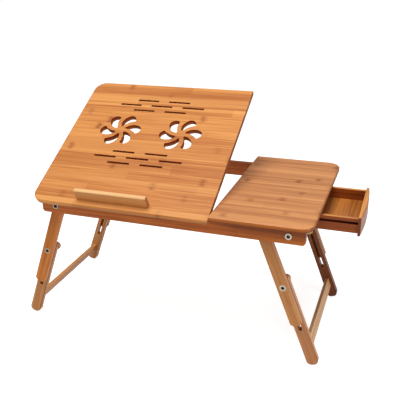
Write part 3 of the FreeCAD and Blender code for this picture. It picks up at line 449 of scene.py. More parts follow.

# %% [markdown]
# ## Tones
# Bamboo is pale when it is raw and turns brown when it is steamed, so one desk holds many browns.  They are
# named as a joiner would name them: honey for the panel that faces the lamp, chestnut for the fixed panel,
# russet for the rails and all that hangs under the top, amber, tan and wheat for the legs, sand for the right
# crossbar, mahogany, cherry and maple for the drawer, and straw for the stop and three knobs.  Two are
# painted
# shade: a dark leg tone for the right rear leg, which stands in the top's shadow, and russet on the fourth
# knob.

# %% The tones
TONES = {
    # tone: the light and the dark colour, the cane joints, the sawn ends
    "honey": ((216, 146, 78), (178, 104, 48), (132, 64, 20), (140, 82, 42)),
    "chestnut": ((218, 152, 96), (160, 95, 56), (128, 68, 36), (150, 92, 54)),
    "russet": ((212, 118, 48), (162, 80, 26), (84, 40, 16), (214, 172, 152)),
    "mahogany": ((154, 76, 22), (116, 50, 12), (62, 26, 8), (110, 52, 20)),
    "cherry": ((158, 88, 40), (122, 62, 24), (72, 34, 14), (120, 62, 28)),
    "tan": ((212, 148, 88), (174, 110, 60), (108, 60, 30), (178, 124, 84)),
    "wheat": ((224, 160, 106), (186, 121, 76), (112, 64, 34), (178, 124, 84)),
    "sand": ((232, 184, 130), (204, 148, 96), (140, 84, 44), (178, 124, 84)),
    "amber": ((222, 137, 58), (184, 101, 35), (104, 54, 20), (168, 108, 66)),
    "maple": ((194, 120, 54), (152, 86, 32), (96, 48, 18), (168, 108, 66)),
    "straw": ((234, 190, 134), (210, 156, 98), (160, 108, 62), (176, 112, 62)),
    # A dark copy of the leg wood: painted shade for the right rear leg, in the shadow under the top.
    "walnut": ((140, 76, 36), (98, 46, 20), (62, 28, 12), (150, 92, 56)),
}
# What the colour is multiplied by on a long edge, in linear light.  On the fixed panel it is a deeper
# side-grain tone that also paints shade on its upright front and back edges; well above 1, on the drawer's
# boards, whose long edges are their top faces, it is a painted highlight.
EDGE_TINTS_AND_PAINTED_LIGHT = {"honey": (1.02, 0.99, 0.88, 1.0), "chestnut": srgb(214, 174, 116), "straw": srgb(248, 214, 180),
              "mahogany": (2.4, 4.5, 11.0, 1.0), "cherry": (2.2, 3.3, 4.4, 1.0)}
print("tones:", sorted(TONES))

# %% [markdown]
# ## One finish for each board
# A board's grain runs along its length, and a leaning board's grain leans with it.  Three dot products of
# Object coordinates give the places along, across and through, so the strips stay parallel to the board's
# own edges, and stay with it when it moves.  The object's own normal tells where the grain is cut across.
# The lacquer is thin: a weak coat over wood that shines little itself.

# %% Bamboo finishes
GRAIN_BUMP = 0.15
GRAIN_DEPTH = 0.0004
LACQUER = {"Specular IOR Level": 0.22, "Coat Weight": 0.04, "Coat Roughness": 0.30}


def bamboo_material(name, tone, grain, cross, origin=(0, 0, 0), seed=0.0, **settings):
    """Lacquered bamboo whose grain and cross directions are directions of the desk."""
    material = bpy.data.materials.new("bamboo " + name.replace("_", " "))
    material.use_nodes = True
    tree = material.node_tree
    shader = tree.nodes["Principled BSDF"]
    coordinates = tree.nodes.new("ShaderNodeTexCoord").outputs
    along = Vector(grain).normalized()
    across = Vector(cross).normalized()
    places = {label: dot(tree, coordinates["Object"], axis, origin)
              for label, axis in (("grain", along), ("cross", across), ("depth", along.cross(across)))}
    facing = {label: do(tree, "ABSOLUTE", dot(tree, coordinates["Normal"], axis))
              for label, axis in (("end_on", along), ("edge_on", across))}
    light, dark, joint, sawn = (srgb(*color) for color in TONES[tone])
    bamboo = use_group(tree, bamboo_group, light=light, dark=dark, joint=joint, sawn=sawn,
                       edge=EDGE_TINTS_AND_PAINTED_LIGHT.get(tone, WHITE), seed=seed, **places, **facing, **settings)
    bump = tree.nodes.new("ShaderNodeBump")
    bump.inputs["Strength"].default_value = GRAIN_BUMP
    bump.inputs["Distance"].default_value = GRAIN_DEPTH
    feed(tree, bump.inputs["Height"], bamboo["Height"])
    feed(tree, shader.inputs["Base Color"], bamboo["Color"])
    feed(tree, shader.inputs["Roughness"], bamboo["Roughness"])
    feed(tree, shader.inputs["Normal"], bump.outputs["Normal"])
    for label, value in LACQUER.items():
        shader.inputs[label].default_value = value
    return material


def dress(node, material):
    """Gives a CAD node one material."""
    mesh = nodes[node].data
    mesh.materials.clear()
    mesh.materials.append(material)


print("lacquer:", LACQUER)

# %% [markdown]
# ## Painted shade and char
# Shade is painted into the wood where light hardly reaches: along the lower edges of the fixed panel, under
# the top, in the drawer's grooves and in the gap between leg halves.  The charred walls of the vents are
# darkened too.  One group does them all.  It is told where the darkening goes and how deep the point lies,
# and it fades a dark tone in from a near share to a far share of it, roughening the wood as it goes.

# %% The darkening group
DARKENING_INPUTS = (
    ("Color", "Color", WHITE), ("Roughness", "Float", 0.5), ("Where", "Float", 1.0), ("Depth", "Float", 0.0),
    ("Near", "Float", 0.0), ("Far", "Float", 1.0), ("Near share", "Float", 1.0), ("Far share", "Float", 1.0),
    ("Grime", "Color", srgb(84, 36, 6)), ("Rougher", "Float", 0.0))


def make_grime_group():
    """share = where * (near share .. far share as the depth goes from near to far)."""
    tree, given, result = new_group("grime", DARKENING_INPUTS, (("Color", "Color"), ("Roughness", "Float")))
    fade = ramp(tree, given["Depth"], given["Near"], given["Far"], given["Near share"], given["Far share"])
    share = times(tree, given["Where"], fade)
    feed(tree, result["Color"], mix(tree, share, given["Color"], given["Grime"]))
    rougher = times(tree, share, given["Rougher"])
    feed(tree, result["Roughness"], do(tree, "ADD", given["Roughness"], rougher, clamp=True))
    return tree


grime_group = make_grime_group()


def surface_of(material):
    """A material's tree, and the sockets that give a point's place and normal."""
    coordinates = material.node_tree.nodes.new("ShaderNodeTexCoord").outputs
    return material.node_tree, coordinates["Object"], coordinates["Normal"]


def darken(material, **values):
    """Puts the darkening group, for char and painted shade, between a bamboo finish and its shader."""
    tree = material.node_tree
    color, roughness = (tree.nodes["Principled BSDF"].inputs[label] for label in ("Base Color", "Roughness"))
    soiled = use_group(tree, grime_group, color=color.links[0].from_socket,
                       roughness=roughness.links[0].from_socket, **values)
    feed(tree, color, soiled["Color"])
    feed(tree, roughness, soiled["Roughness"])


print("grime group:", len(grime_group.nodes), "nodes")

# %% [markdown]
# ## Which way the boards run
# The rails and the fixed panel lie square to the desk.  The tilting panel leans back on its hinge, the
# legs splay outwards, and the arms of the prop lean forwards.  Each needs its own direction for the grain.

# %% The directions of the boards
X, Y, Z = (1, 0, 0), (0, 1, 0), (0, 0, 1)
DOWN = (0, 0, -1)
TILT = math.radians(28.5)
SPLAY = math.radians(20.8)
PROP_LEAN = math.radians(40.8)
hinge = Vector(joints["panel_tilt"]["pos_m"])
panel_across = (0, math.cos(TILT), math.sin(TILT))
panel_out = (0, -math.sin(TILT), math.cos(TILT))
prop_along = (0, -math.cos(PROP_LEAN), math.sin(PROP_LEAN))
leg_along = {"left": (math.sin(SPLAY), 0, math.cos(SPLAY)), "right": (-math.sin(SPLAY), 0, math.cos(SPLAY))}
print("hinge axis at", [round(v, 4) for v in hinge])

# %% [markdown]
# ## The tilting panel
# The panel is glued from honey coloured planks.  Where the cane was steamed longer, a whole plank is
# deeper, so a few planks are shifted in tone at their places across the panel.

# %% The planks of the tilting panel
DEEP_HONEY = srgb(168, 94, 42)
PALE_HONEY = srgb(236, 170, 98)
PLANK_SEAM = 0.002
PLANKS = (
    # near and far distance from the front edge, share, tone
    (0.001, 0.015, 0.45, PALE_HONEY), (0.062, 0.078, 0.30, PALE_HONEY), (0.100, 0.124, 0.45, DEEP_HONEY),
    (0.129, 0.135, 0.75, DEEP_HONEY), (0.142, 0.178, 0.26, DEEP_HONEY), (0.276, 0.286, 0.50, PALE_HONEY),
    (0.290, 0.315, 0.30, PALE_HONEY), (0.316, 0.3405, 0.40, DEEP_HONEY))


def shade_planks(material, corner, across, planks):
    """Shifts the tone of whole planks: each runs from a near to a far distance across the panel."""
    tree, place, _ = surface_of(material)
    reach = dot(tree, place, across, corner)
    base = tree.nodes["Principled BSDF"].inputs["Base Color"]
    color = base.links[0].from_socket
    for near, far, share, tone in planks:
        inside = times(tree, ramp(tree, reach, near, near + PLANK_SEAM),
                       ramp(tree, reach, far - PLANK_SEAM, far, share, 0.0))
        color = mix(tree, inside, color, tone)
    feed(tree, base, color)


HINGE_FROM_EDGE = 0.0160
tilt_low, tilt_high = (Vector(corner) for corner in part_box("tilt_panel"))
panel_corner = Vector((tilt_low.x, hinge.y, hinge.z)) - HINGE_FROM_EDGE * Vector(panel_across)
tilt_finish = bamboo_material("tilt_panel", "honey", X, panel_across, origin=panel_corner, seed=1.0,
                              strip=0.021, cane=0.33, variety=0.6, streaks=0.8, joint_share=0.95,
                              board_from=0.062, board_to=0.128, board_share=0.22)
shade_planks(tilt_finish, panel_corner, panel_across, PLANKS)
dress("tilt_panel", tilt_finish)
print("tilting panel:", len(PLANKS), "planks shifted in tone")

# %% [markdown]
# The fan vents and slots are burnt out by a laser, which leaves their walls charred, darkest at the upper
# face.  A wall is told from the face by its normal, which lies in the plane of the panel, and from the
# outer edges by its place: it is well inside them.  The char is laid on by the darkening group.

# %% The burnt walls of the vents
PANEL_DEPTH = 0.350
MARGIN = 0.020
SOOT_RATE = 420.0
SOOT = (0.35, 0.65)
BURN_FADES_OVER = 0.0080
FADED_SHARE = 0.85
HINGE_PLAY = 0.0003  # air between the rail and the panel


def char_walls(material, corner, along, across, outward, size, underside):
    """Darkens the walls of openings: the normal lies flat and the place is MARGIN inside the outline.

    The char is darkest at the upper face and grows lighter towards the underside.
    """
    tree, place, normal = surface_of(material)
    wall = do(tree, "LESS_THAN", do(tree, "ABSOLUTE", dot(tree, normal, outward)), 0.5)
    for axis, length in ((along, size[0]), (across, size[1])):
        reach = dot(tree, place, axis, corner)
        from_middle = do(tree, "ABSOLUTE", minus(tree, reach, length / 2))
        wall = times(tree, wall, do(tree, "LESS_THAN", from_middle, length / 2 - MARGIN))
    soot = ramp(tree, noise(tree, place, SOOT_RATE, 3.0), *SOOT)
    burnt = mix(tree, soot, srgb(172, 64, 3), srgb(122, 37, 0))
    height = dot(tree, place, outward, corner)
    faded = ramp(tree, height, underside, underside + BURN_FADES_OVER, FADED_SHARE, 0.0)
    darken(material, where=wall, grime=mix(tree, faded, burnt, srgb(206, 144, 84)), rougher=0.3)


rail_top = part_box("front_rail")[1][2]
UNDER_PANEL = HINGE_PLAY + rail_top - hinge.z
PANEL_WIDTH = tilt_high.x - tilt_low.x
char_walls(tilt_finish, panel_corner, X, panel_across, panel_out, (PANEL_WIDTH, PANEL_DEPTH), UNDER_PANEL)
print("tilting panel:", round(PANEL_WIDTH * 1000), "mm wide,", round(PANEL_DEPTH * 1000), "mm deep")

# %% [markdown]
# ## The fixed panel and the stop
# The fixed panel is of browner cane with many joints and one pale plank along its front.  Its edges grow
# darker towards the underside: a painted shade line along the lower rim.  The stop is one piece of pale
# bamboo.

# %% The fixed panel and the stop
UPRIGHT = 0.95


def shaded_lower_edge(material, underside):
    """Darkens the lower part of a board's edges, beside its underside: a painted shade line."""
    tree, place, normal = surface_of(material)
    upright = do(tree, "LESS_THAN", do(tree, "ABSOLUTE", dot(tree, normal, Z)), UPRIGHT)
    darken(material, where=upright, depth=dot(tree, place, Z, (0, 0, underside)), near=0.0005, far=0.0060,
         near_share=0.80, far_share=0.0, grime=srgb(104, 42, 4), rougher=0.5)


fixed_finish = bamboo_material("fixed_panel", "chestnut", X, Y, origin=fixed_low, seed=2.0, strip=0.020,
                               cane=0.24, variety=0.35, bands=1.3, streaks=0.3, joint_share=1.0,
                               board_from=-0.010, board_to=0.026, board_share=-0.42)
shaded_lower_edge(fixed_finish, fixed_low.z)
dress("fixed_panel", fixed_finish)
dress("book_stop", bamboo_material("book_stop", "straw", X, panel_across, seed=3.0, strip=0.03, variety=0.15,
                                   streaks=0.4, joint_share=0.2))
print("fixed panel and stop:", nodes["fixed_panel"].data.materials[0].name, "and",
      nodes["book_stop"].data.materials[0].name)

# %% [markdown]
# ## Rails, blocks, prop and drawer
# The plainer boards differ only in tone, direction and width of strip, so a table holds them.  Boards in
# one row are cut from one stock; a small step of the seed keeps them from being copies.

# %% The plain boards
SEED_STEP = 0.31
BOARDS = (
    # nodes, tone, grain, cross, strip, variety, seed
    (("rear_rail",), "russet", X, Z, 0.017, 0.5, 4.0 + SEED_STEP),
    (("left_cross_rail", "left_bearer", "right_bearer"), "russet", Y, Z, 0.017, 0.5, 5.0),
    (("front_end_block", "rear_end_block", "front_drawer_guide", "rear_drawer_guide"), "russet", X, Z,
     0.02, 0.4, 6.0),
    (("prop_blocks",), "russet", X, panel_across, 0.02, 0.3, 7.0),
    (("left_prop_arm", "right_prop_arm"), "tan", prop_along, X, 0.02, 0.3, 8.0),
    (("left_crossbar",), "tan", Y, leg_along["left"], 0.03, 0.2, 9.0),
    (("right_crossbar",), "sand", Y, leg_along["right"], 0.03, 0.2, 10.0),
    # The drawer's boards carry a painted highlight on their top faces, from their edge tint.
    (("drawer_front_side", "drawer_rear_side"), "mahogany", X, Z, 0.016, 0.3, 11.0),
    (("drawer_back",), "mahogany", Y, Z, 0.016, 0.3, 12.0),
    (("drawer_front",), "cherry", Y, Z, 0.02, 0.3, 13.0),
    (("drawer_floor",), "maple", Y, X, 0.012, 0.7, 14.0))

for names, tone, grain, cross, strip, variety, seed in BOARDS:
    for offset, name in enumerate(names):
        dress(name, bamboo_material(name, tone, grain, cross, seed=seed + SEED_STEP * offset, strip=strip,
                                    variety=variety, joint_share=0.25))
print("plain boards:", sum(len(board[0]) for board in BOARDS))

# %% [markdown]
# ## The front rail
# The rail's upper part lies under the overhanging top, and the top's shadow on it is painted in; below the
# fixed panel the painted shadow is stronger and reaches further down.  The rail's lower part is a lighter
# plank, which with the painted shadow grades the rail from dark at its top to light at its bottom.

# %% The front rail
SHADE_GROWS = (-0.010, 0.060)
SHADE_DEEPENS = (-0.010, 0.080)


def shaded_rail_top(material, top_edge, seam):
    """Paints the top's shadow onto the upper part of a rail, most beyond x = seam."""
    tree, place, _ = surface_of(material)
    along = dot(tree, place, X)
    amount = ramp(tree, along, *(seam + step for step in SHADE_GROWS), 0.30, 0.80)
    reach = ramp(tree, along, *(seam + step for step in SHADE_DEEPENS), 0.019, 0.034)
    darken(material, where=amount, depth=dot(tree, place, DOWN, (0, 0, top_edge)), near=0.003, far=reach,
         near_share=1.0, far_share=0.0, grime=srgb(84, 30, 4))


rail_finish = bamboo_material("front_rail", "russet", X, Z, origin=(0, 0, rail_top), seed=4.0, strip=0.017,
                              variety=0.5, joint_share=0.25, board_from=-0.040, board_to=-0.009,
                              board_share=-0.20)
shaded_rail_top(rail_finish, rail_top, fixed_low.x)
dress("front_rail", rail_finish)
print("front rail: top edge at", round(rail_top, 4), "m, seam at", round(fixed_low.x, 4), "m")

# %% [markdown]
# ## The drawer's grooves
# The drawer hangs on two tongues that run in grooves along its sides.  The shade inside the grooves is
# painted in, nearly black.  The groove is a band of heights, and lies behind the outer face of the side.

# %% The drawer's grooves
GROOVE_DROP = 0.0063
GROOVE_HEIGHT = 0.0054
GROOVE_DEPTH = 0.0043
SLACK = 0.0001


def shaded_groove(material, top_edge, outer_face, inwards):
    """Paints shade into a drawer side's groove: between two heights, from the outer face to the groove's
    depth.
    """
    tree, place, _ = surface_of(material)
    below = dot(tree, place, DOWN, (0, 0, top_edge))
    in_band = times(tree, do(tree, "GREATER_THAN", below, GROOVE_DROP - SLACK),
                    do(tree, "LESS_THAN", below, GROOVE_DROP + GROOVE_HEIGHT + SLACK))
    inside = times(tree, dot(tree, place, Y, (0, outer_face, 0)), inwards)
    where = times(tree, in_band, do(tree, "LESS_THAN", inside, GROOVE_DEPTH + SLACK))
    darken(material, where=where, depth=inside, near=0.0, far=0.001, near_share=0.2, far_share=0.95,
         grime=srgb(76, 10, 3), rougher=0.5)


for side, outer, inwards in (("front", 0, 1), ("rear", 1, -1)):
    name = "drawer_%s_side" % side
    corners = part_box(name)
    shaded_groove(nodes[name].data.materials[0], corners[1][2], corners[outer][1], inwards)
    print(name, "groove from", round(corners[1][2] - GROOVE_DROP, 4), "m down")

# %% [markdown]
# ## The legs
# Each leg is two halves that slide on one another.  Along the sides of the lower half, next to the face that
# touches, a thin dark line is painted shade, for the shadow in the gap.  The right rear leg's lower half is
# dark as well: painted shade, for the shadow under the top.

# %% The legs
GAP_SHADE_WIDTH = 0.0028
LOWER_SEED = 0.5
LEGS = {
    # hand and side: tone of the upper half, tone of the lower half, seed
    ("left", "front"): ("amber", "tan", 30.0), ("left", "rear"): ("amber", "tan", 31.0),
    # The right rear leg's lower half takes the dark tone as painted shade.
    ("right", "front"): ("tan", "wheat", 32.0), ("right", "rear"): ("tan", "walnut", 33.0)}


def gap_shade_line(material, face, inwards):
    """Paints a shade line on the sides of a lower leg beside the face that rubs on the upper leg, which is at
    y = face.
    """
    tree, place, normal = surface_of(material)
    side_on = do(tree, "LESS_THAN", do(tree, "ABSOLUTE", dot(tree, normal, Y)), 0.5)
    inside = times(tree, dot(tree, place, Y, (0, face, 0)), inwards)
    darken(material, where=side_on, depth=inside, near=0.6 * GAP_SHADE_WIDTH, far=GAP_SHADE_WIDTH, near_share=0.95,
         far_share=0.0, grime=srgb(84, 36, 6), rougher=0.5)


def leg_finish(node, tone, hand, seed):
    """Bamboo in narrow strips whose grain leans with the leg."""
    return bamboo_material(node, tone, leg_along[hand], Y, seed=seed, strip=0.012, variety=0.3,
                           joint_share=0.2)


for (hand, side), (upper_tone, lower_tone, seed) in LEGS.items():
    upper, lower = ("%s_%s_%s_leg" % (hand, side, half) for half in ("upper", "lower"))
    dress(upper, leg_finish(upper, upper_tone, hand, seed))
    dress(lower, leg_finish(lower, lower_tone, hand, seed + LOWER_SEED))
    outer, inwards = (0, 1) if side == "front" else (1, -1)
    gap_shade_line(nodes[lower].data.materials[0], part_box(lower)[outer][1], inwards)
print("leg halves:", 2 * len(LEGS))

# %% [markdown]
# ## Steel
# The hinges, pins and bolts are plated steel: bright, a little blotchy, and finely brushed.  A broad noise
# blends in a worn tone, and a fine one changes the roughness.

# %% The plating group
FINE_RATE = 1400.0
BLOTCH_RATE = 160.0
WORN_SHARE = 0.62
BLOTCHES = (0.4, 0.7, 0.0, 0.3)
BRUSHED = (0.2, 0.8)
SMOOTHER, ROUGHER = 0.06, 0.08
PLATING_INPUTS = (("Place", "Vector", (0.0, 0.0, 0.0)), ("Plating", "Color", WHITE), ("Worn", "Color", WHITE),
                  ("Roughness", "Float", 0.3))


def make_plating_group():
    """Plating that is worn in blotches, and whose roughness changes finely round its own value."""
    tree, given, result = new_group("plating", PLATING_INPUTS, (("Color", "Color"), ("Roughness", "Float")))
    fine = noise(tree, given["Place"], FINE_RATE, 2.0)
    broad = noise(tree, given["Place"], BLOTCH_RATE, 2.0)
    worn = ramp(tree, broad, *BLOTCHES)
    feed(tree, result["Color"], mix(tree, worn, given["Plating"], given["Worn"]))
    smoother = minus(tree, given["Roughness"], SMOOTHER)
    rougher = plus(tree, given["Roughness"], ROUGHER)
    feed(tree, result["Roughness"], ramp(tree, fine, *BRUSHED, smoother, rougher))
    return tree


plating_group = make_plating_group()
print("plating group:", len(plating_group.nodes), "nodes")

# %% [markdown]
# The bolts have hexagon sockets, and the shade in these deep recesses is painted in, nearly black.  A
# point lies in a hexagon when it is less than half its width across flats from the axis, measured in
# three directions that are 60 degrees apart.  Both bolts of a node share one axis, seen from the front.

# %% The socket group
SOCKET_CORNER = 0.0033
SOCKET_FLAT = SOCKET_CORNER * math.cos(math.radians(30))
# Painted shade in the sockets, nearly black.
SOCKET_SHADE = srgb(34, 32, 28)
METAL_HIDDEN = 0.7
SOCKET_INPUTS = (("Place", "Vector", (0.0, 0.0, 0.0)), ("Color", "Color", WHITE),
                 ("Axis", "Vector", (0.0, 0.0, 0.0)), ("Smear", "Float", 0.0005))


def make_socket_group():
    """Painted shade in a hexagon round the axis: the greatest of three distances is below half the width."""
    tree, given, result = new_group("socket", SOCKET_INPUTS, (("Color", "Color"), ("Metallic", "Float")))
    away = 0.0
    for turn in (math.pi / 6, math.pi / 2, 5 * math.pi / 6):
        reach = dot(tree, given["Place"], (math.cos(turn), 0, math.sin(turn)), origin=given["Axis"])
        away = do(tree, "MAXIMUM", away, do(tree, "ABSOLUTE", reach))
    grime = ramp(tree, away, SOCKET_FLAT, plus(tree, given["Smear"], SOCKET_FLAT), 1.0, 0.0)
    feed(tree, result["Color"], mix(tree, grime, given["Color"], SOCKET_SHADE))
    feed(tree, result["Metallic"], minus(tree, 1.0, times(tree, grime, METAL_HIDDEN)))
    return tree


socket_group = make_socket_group()
print("socket:", round(2000 * SOCKET_FLAT, 1), "mm across flats")

# %% [markdown]
# The pins and hinges are all metal, so Metallic is a plain 1 on their shader.  Only the bolts, whose
# painted socket shade is no metal, take Metallic from the socket group.  The left bolts are the duller ones,
# a painted shade, and their socket shade is smeared a little further over the head.


# %% Steel finishes
def steel_material(name, plating, roughness, axis=None, smear=0.0):
    """Plated steel; axis is a point on the axis of the bolts whose sockets get painted shade, or None."""
    material = bpy.data.materials.new(name)
    material.use_nodes = True
    tree, place, _ = surface_of(material)
    shader = tree.nodes["Principled BSDF"]
    worn = tuple(WORN_SHARE * share for share in plating[:3]) + (1.0,)
    steel = use_group(tree, plating_group, place=place, plating=plating, worn=worn, roughness=roughness)
    color, metallic = steel["Color"], 1.0
    if axis is not None:
        socket = use_group(tree, socket_group, place=place, color=color, axis=axis, smear=smear)
        color, metallic = socket["Color"], socket["Metallic"]
    feed(tree, shader.inputs["Base Color"], color)
    feed(tree, shader.inputs["Metallic"], metallic)
    feed(tree, shader.inputs["Roughness"], steel["Roughness"])
    return material


NICKEL = srgb(172, 166, 152)
# The left bolts stand in shadow, so their plating is painted duller and darker: painted shade.
SHADED_NICKEL = srgb(142, 134, 118)
BOLTS = (("left_pivot_bolts", SHADED_NICKEL, 0.0016), ("left_knob_bolts", SHADED_NICKEL, 0.0010),
         ("end_block_bolts", NICKEL, 0.0008), ("right_knob_bolts", NICKEL, 0.0008))
PLAIN_STEEL = ("hinge_fixed_leaves", "hinge_moving_leaves", "hinge_pins", "right_pivot_pins", "prop_pins",
               "prop_bar")
steel = steel_material("plated steel", srgb(140, 136, 128), 0.34)
for name in PLAIN_STEEL:
    dress(name, steel)
for name, plating, smear in BOLTS:
    bolt_low, bolt_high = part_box(name)
    axis = ((bolt_low[0] + bolt_high[0]) / 2, 0.0, (bolt_low[2] + bolt_high[2]) / 2)
    dress(name, steel_material("nickel " + name.replace("_", " "), plating, 0.26, axis, smear))
print("steel pieces:", len(PLAIN_STEEL) + len(BOLTS))

# %% [markdown]
# ## Surfaces from arrays
# The knobs and the screw heads are skins over rings of points.  A ring is a closed loop, the rings follow
# one another from one pole to the other, and each pole is a single point, so the skin is watertight.  The
# points come as whole arrays from a formula of two numbers: how far along, and how far round.


# %% Skins
def shell_faces(steps, count):
    """Quads between neighbouring rings and triangles from the end rings to their poles, by point number."""
    index = 1 + np.arange(count * steps).reshape(count, steps)
    after = np.roll(index, -1, axis=1)
    quads = np.stack([index[:-1], after[:-1], after[1:], index[1:]], axis=-1).reshape(-1, 4)
    first_fan = np.stack([np.full(steps, 0), after[0], index[0]], axis=-1)
    last_fan = np.stack([index[-1], after[-1], np.full(steps, 1 + count * steps)], axis=-1)
    return quads, np.vstack([first_fan, last_fan])


def skin(name, shells, material, body):
    """One mesh from closed shells; each is an array (ring, step, xyz) with a pole point before and after.

    The volume of a shell, the sum of a . (b x c) / 6 over all its triangles, tells whether its faces look
    outwards; if they don't, each face is turned round.
    """
    points, quads, triangles, start = [], [], [], 0
    for first_pole, rings, last_pole in shells:
        sides, ends = shell_faces(rings.shape[1], rings.shape[0])
        cloud = np.vstack([first_pole, rings.reshape(-1, 3), last_pole])
        every = np.vstack([ends, sides[:, :3], sides[:, [0, 2, 3]]])
        a, b, c = (cloud[every[:, k]] for k in range(3))
        if (np.cross(b, c) * a).sum() < 0:
            sides, ends = sides[:, ::-1], ends[:, ::-1]
        points.append(cloud)
        quads.append(start + sides)
        triangles.append(start + ends)
        start += len(cloud)
    mesh = bpy.data.meshes.new(name)
    faces = np.vstack(quads).tolist() + np.vstack(triangles).tolist()
    mesh.from_pydata(np.vstack(points).tolist(), [], faces)
    mesh.polygons.foreach_set("use_smooth", np.ones(len(faces), dtype=bool))
    mesh.materials.append(material)
    piece = bpy.data.objects.new(name, mesh)
    bpy.context.scene.collection.objects.link(piece)
    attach(piece, body)
    print(name, len(shells), "shells,", len(faces), "faces")
    return piece


print("a skin of one ring with four steps has", sum(len(part) for part in shell_faces(4, 1)), "faces")

# %% [markdown]
# ## The knobs
# Each leg is clamped by a little wooden knob that is oval and soft in the hand.  Its outline is a circle
# pulled apart along one axis, and its thickness follows a rounded profile, flat in the middle and full at
# the rim, so that light rolls over it instead of breaking at an edge.

# %% The shape of a knob
KNOB_RADIUS = 0.0080
KNOB_STRETCH = 0.0100
KNOB_RINGS = 22
KNOB_STEPS = 72
ROUNDNESS = 3.4


def knob_shell(center, half_thick, long_axis, short_axis):
    """p(t, a) = center + w(t) (long (R sin a + S/2 clip(3 sin a)) + short R cos a) + y h t.

    t runs from -1 to 1 through the thickness and a runs round.  w = (1 - |t|^n)^(1/n) is the rounded
    profile with n = ROUNDNESS, and clip limits 3 sin a to -1..1, which pulls the two half circles apart
    by the stretch S.
    """
    t = np.sin(np.linspace(-math.pi / 2, math.pi / 2, KNOB_RINGS + 2)[1:-1])[:, None]
    a = np.linspace(0, 2 * math.pi, KNOB_STEPS, endpoint=False)[None, :]
    wide = (1 - np.abs(t) ** ROUNDNESS) ** (1 / ROUNDNESS)
    far = wide * (KNOB_RADIUS * np.sin(a) + KNOB_STRETCH / 2 * np.clip(3 * np.sin(a), -1, 1))
    near = wide * KNOB_RADIUS * np.cos(a)
    deep = half_thick * t + 0 * a
    rings = (np.array(center) + far[..., None] * np.array(long_axis) + near[..., None] * np.array(short_axis)
             + deep[..., None] * np.array(Y))
    pole = half_thick * np.array(Y)
    return np.array(center) - pole, rings, np.array(center) + pole


print("knob:", round(2000 * KNOB_RADIUS), "by", round(1000 * (2 * KNOB_RADIUS + KNOB_STRETCH)), "mm")

# %% [markdown]
# Nobody tightens four knobs to the same angle, so each is turned its own way.  Each skin stands in for the
# plain oval of its solid and fills the same box.

# %% The four knobs
KNOBS = {
    # hand and side: degrees that the oval is turned from the leg, tone
    # The left front knob takes the darker russet tone as painted shade, for the shadow it stands in.
    ("left", "front"): (85, "russet"), ("left", "rear"): (25, "straw"),
    ("right", "front"): (30, "straw"), ("right", "rear"): (0, "straw")}

for (hand, side), (turn, tone) in KNOBS.items():
    node = "%s_%s_knob" % (hand, side)
    knob_low, knob_high = (np.array(corner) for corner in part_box(node))
    middle = (knob_low + knob_high) / 2
    along = Vector(leg_along[hand])
    along.rotate(Matrix.Rotation(math.radians(turn), 3, "Y"))
    across = Vector(Y).cross(along)
    shell = knob_shell(middle, (knob_high[1] - knob_low[1]) / 2, along, across)
    finish = bamboo_material("soft_" + node, tone, along, across, seed=50.0 + turn, strip=0.03, variety=0.1,
                             joint_share=0.0)
    piece = skin("soft_" + node, [shell], finish, node)
    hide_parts(node)
    spread = np.abs(shell[1].reshape(-1, 3) - middle).max(axis=0) * 2000
    print("  skin", spread.round(1), "mm in box", ((knob_high - knob_low) * 1000).round(1), "mm")

# %% [markdown]
# ## Screws
# Countersunk screws hold the hinge leaves and, from below, the book stop.  A head is a height field over a
# disc: nearly flat, with a cross pressed into it.  A short skirt takes it down into the metal or the wood.

# %% The shape of a screw head
SCREW_RINGS = 14
SCREW_STEPS = 64
ARM_HALF_WIDTH = 0.20
ARM_REACH = 0.66
ARM_BORDER = 0.08
CROSS_DEPTH = 0.45


def screw_shell(center, outward, radius, crown, sink):
    """h(r, a) = crown (1 - r^2) - CROSS_DEPTH sink cross(r, a), over a disc of r from 0 to 1.

    cross is 1 where the point lies within an arm's half width of either axis and r < ARM_REACH, and falls
    to 0 over a soft border.  The last ring repeats the rim at h = -sink.
    """
    outward = Vector(outward).normalized()
    side = outward.orthogonal().normalized()
    other = outward.cross(side)
    r = np.linspace(0, 1, SCREW_RINGS + 1)[1:, None]
    a = np.linspace(0, 2 * math.pi, SCREW_STEPS, endpoint=False)[None, :]
    arm = np.minimum(np.abs(r * np.cos(a)), np.abs(r * np.sin(a)))
    cross = (np.clip((ARM_HALF_WIDTH - arm) / ARM_BORDER, 0, 1)
             * np.clip((ARM_REACH - r) / ARM_BORDER, 0, 1))
    height = crown * (1 - r ** 2) - CROSS_DEPTH * sink * cross
    r = np.vstack([r, [[1.0]]])
    height = np.vstack([height, np.full((1, SCREW_STEPS), -sink)])
    axes = [np.array(v) for v in (side, other, outward)]
    flat = radius * r
    rings = (np.array(center) + (flat * np.cos(a))[..., None] * axes[0]
             + (flat * np.sin(a))[..., None] * axes[1] + height[..., None] * axes[2])
    top_point = np.array(center) + (crown - CROSS_DEPTH * sink) * axes[2]
    return top_point, rings, np.array(center) - sink * axes[2]


print("screw head:", SCREW_RINGS + 1, "rings of", SCREW_STEPS)

# %% [markdown]
# ### Where the screws sit
# Each hinge leaf has two screws, an inset from its ends.  The fixed leaf lies on the rail and shows its
# screws from above; the moving leaf lies under the panel, and its screws are driven upwards into it.


# %% The hinge screws
def on_panel(x, up_the_panel, out_of_it):
    """A place on the leaning panel, from the hinge axis."""
    return Vector((x, hinge.y, hinge.z)) + up_the_panel * Vector(panel_across) + out_of_it * Vector(panel_out)


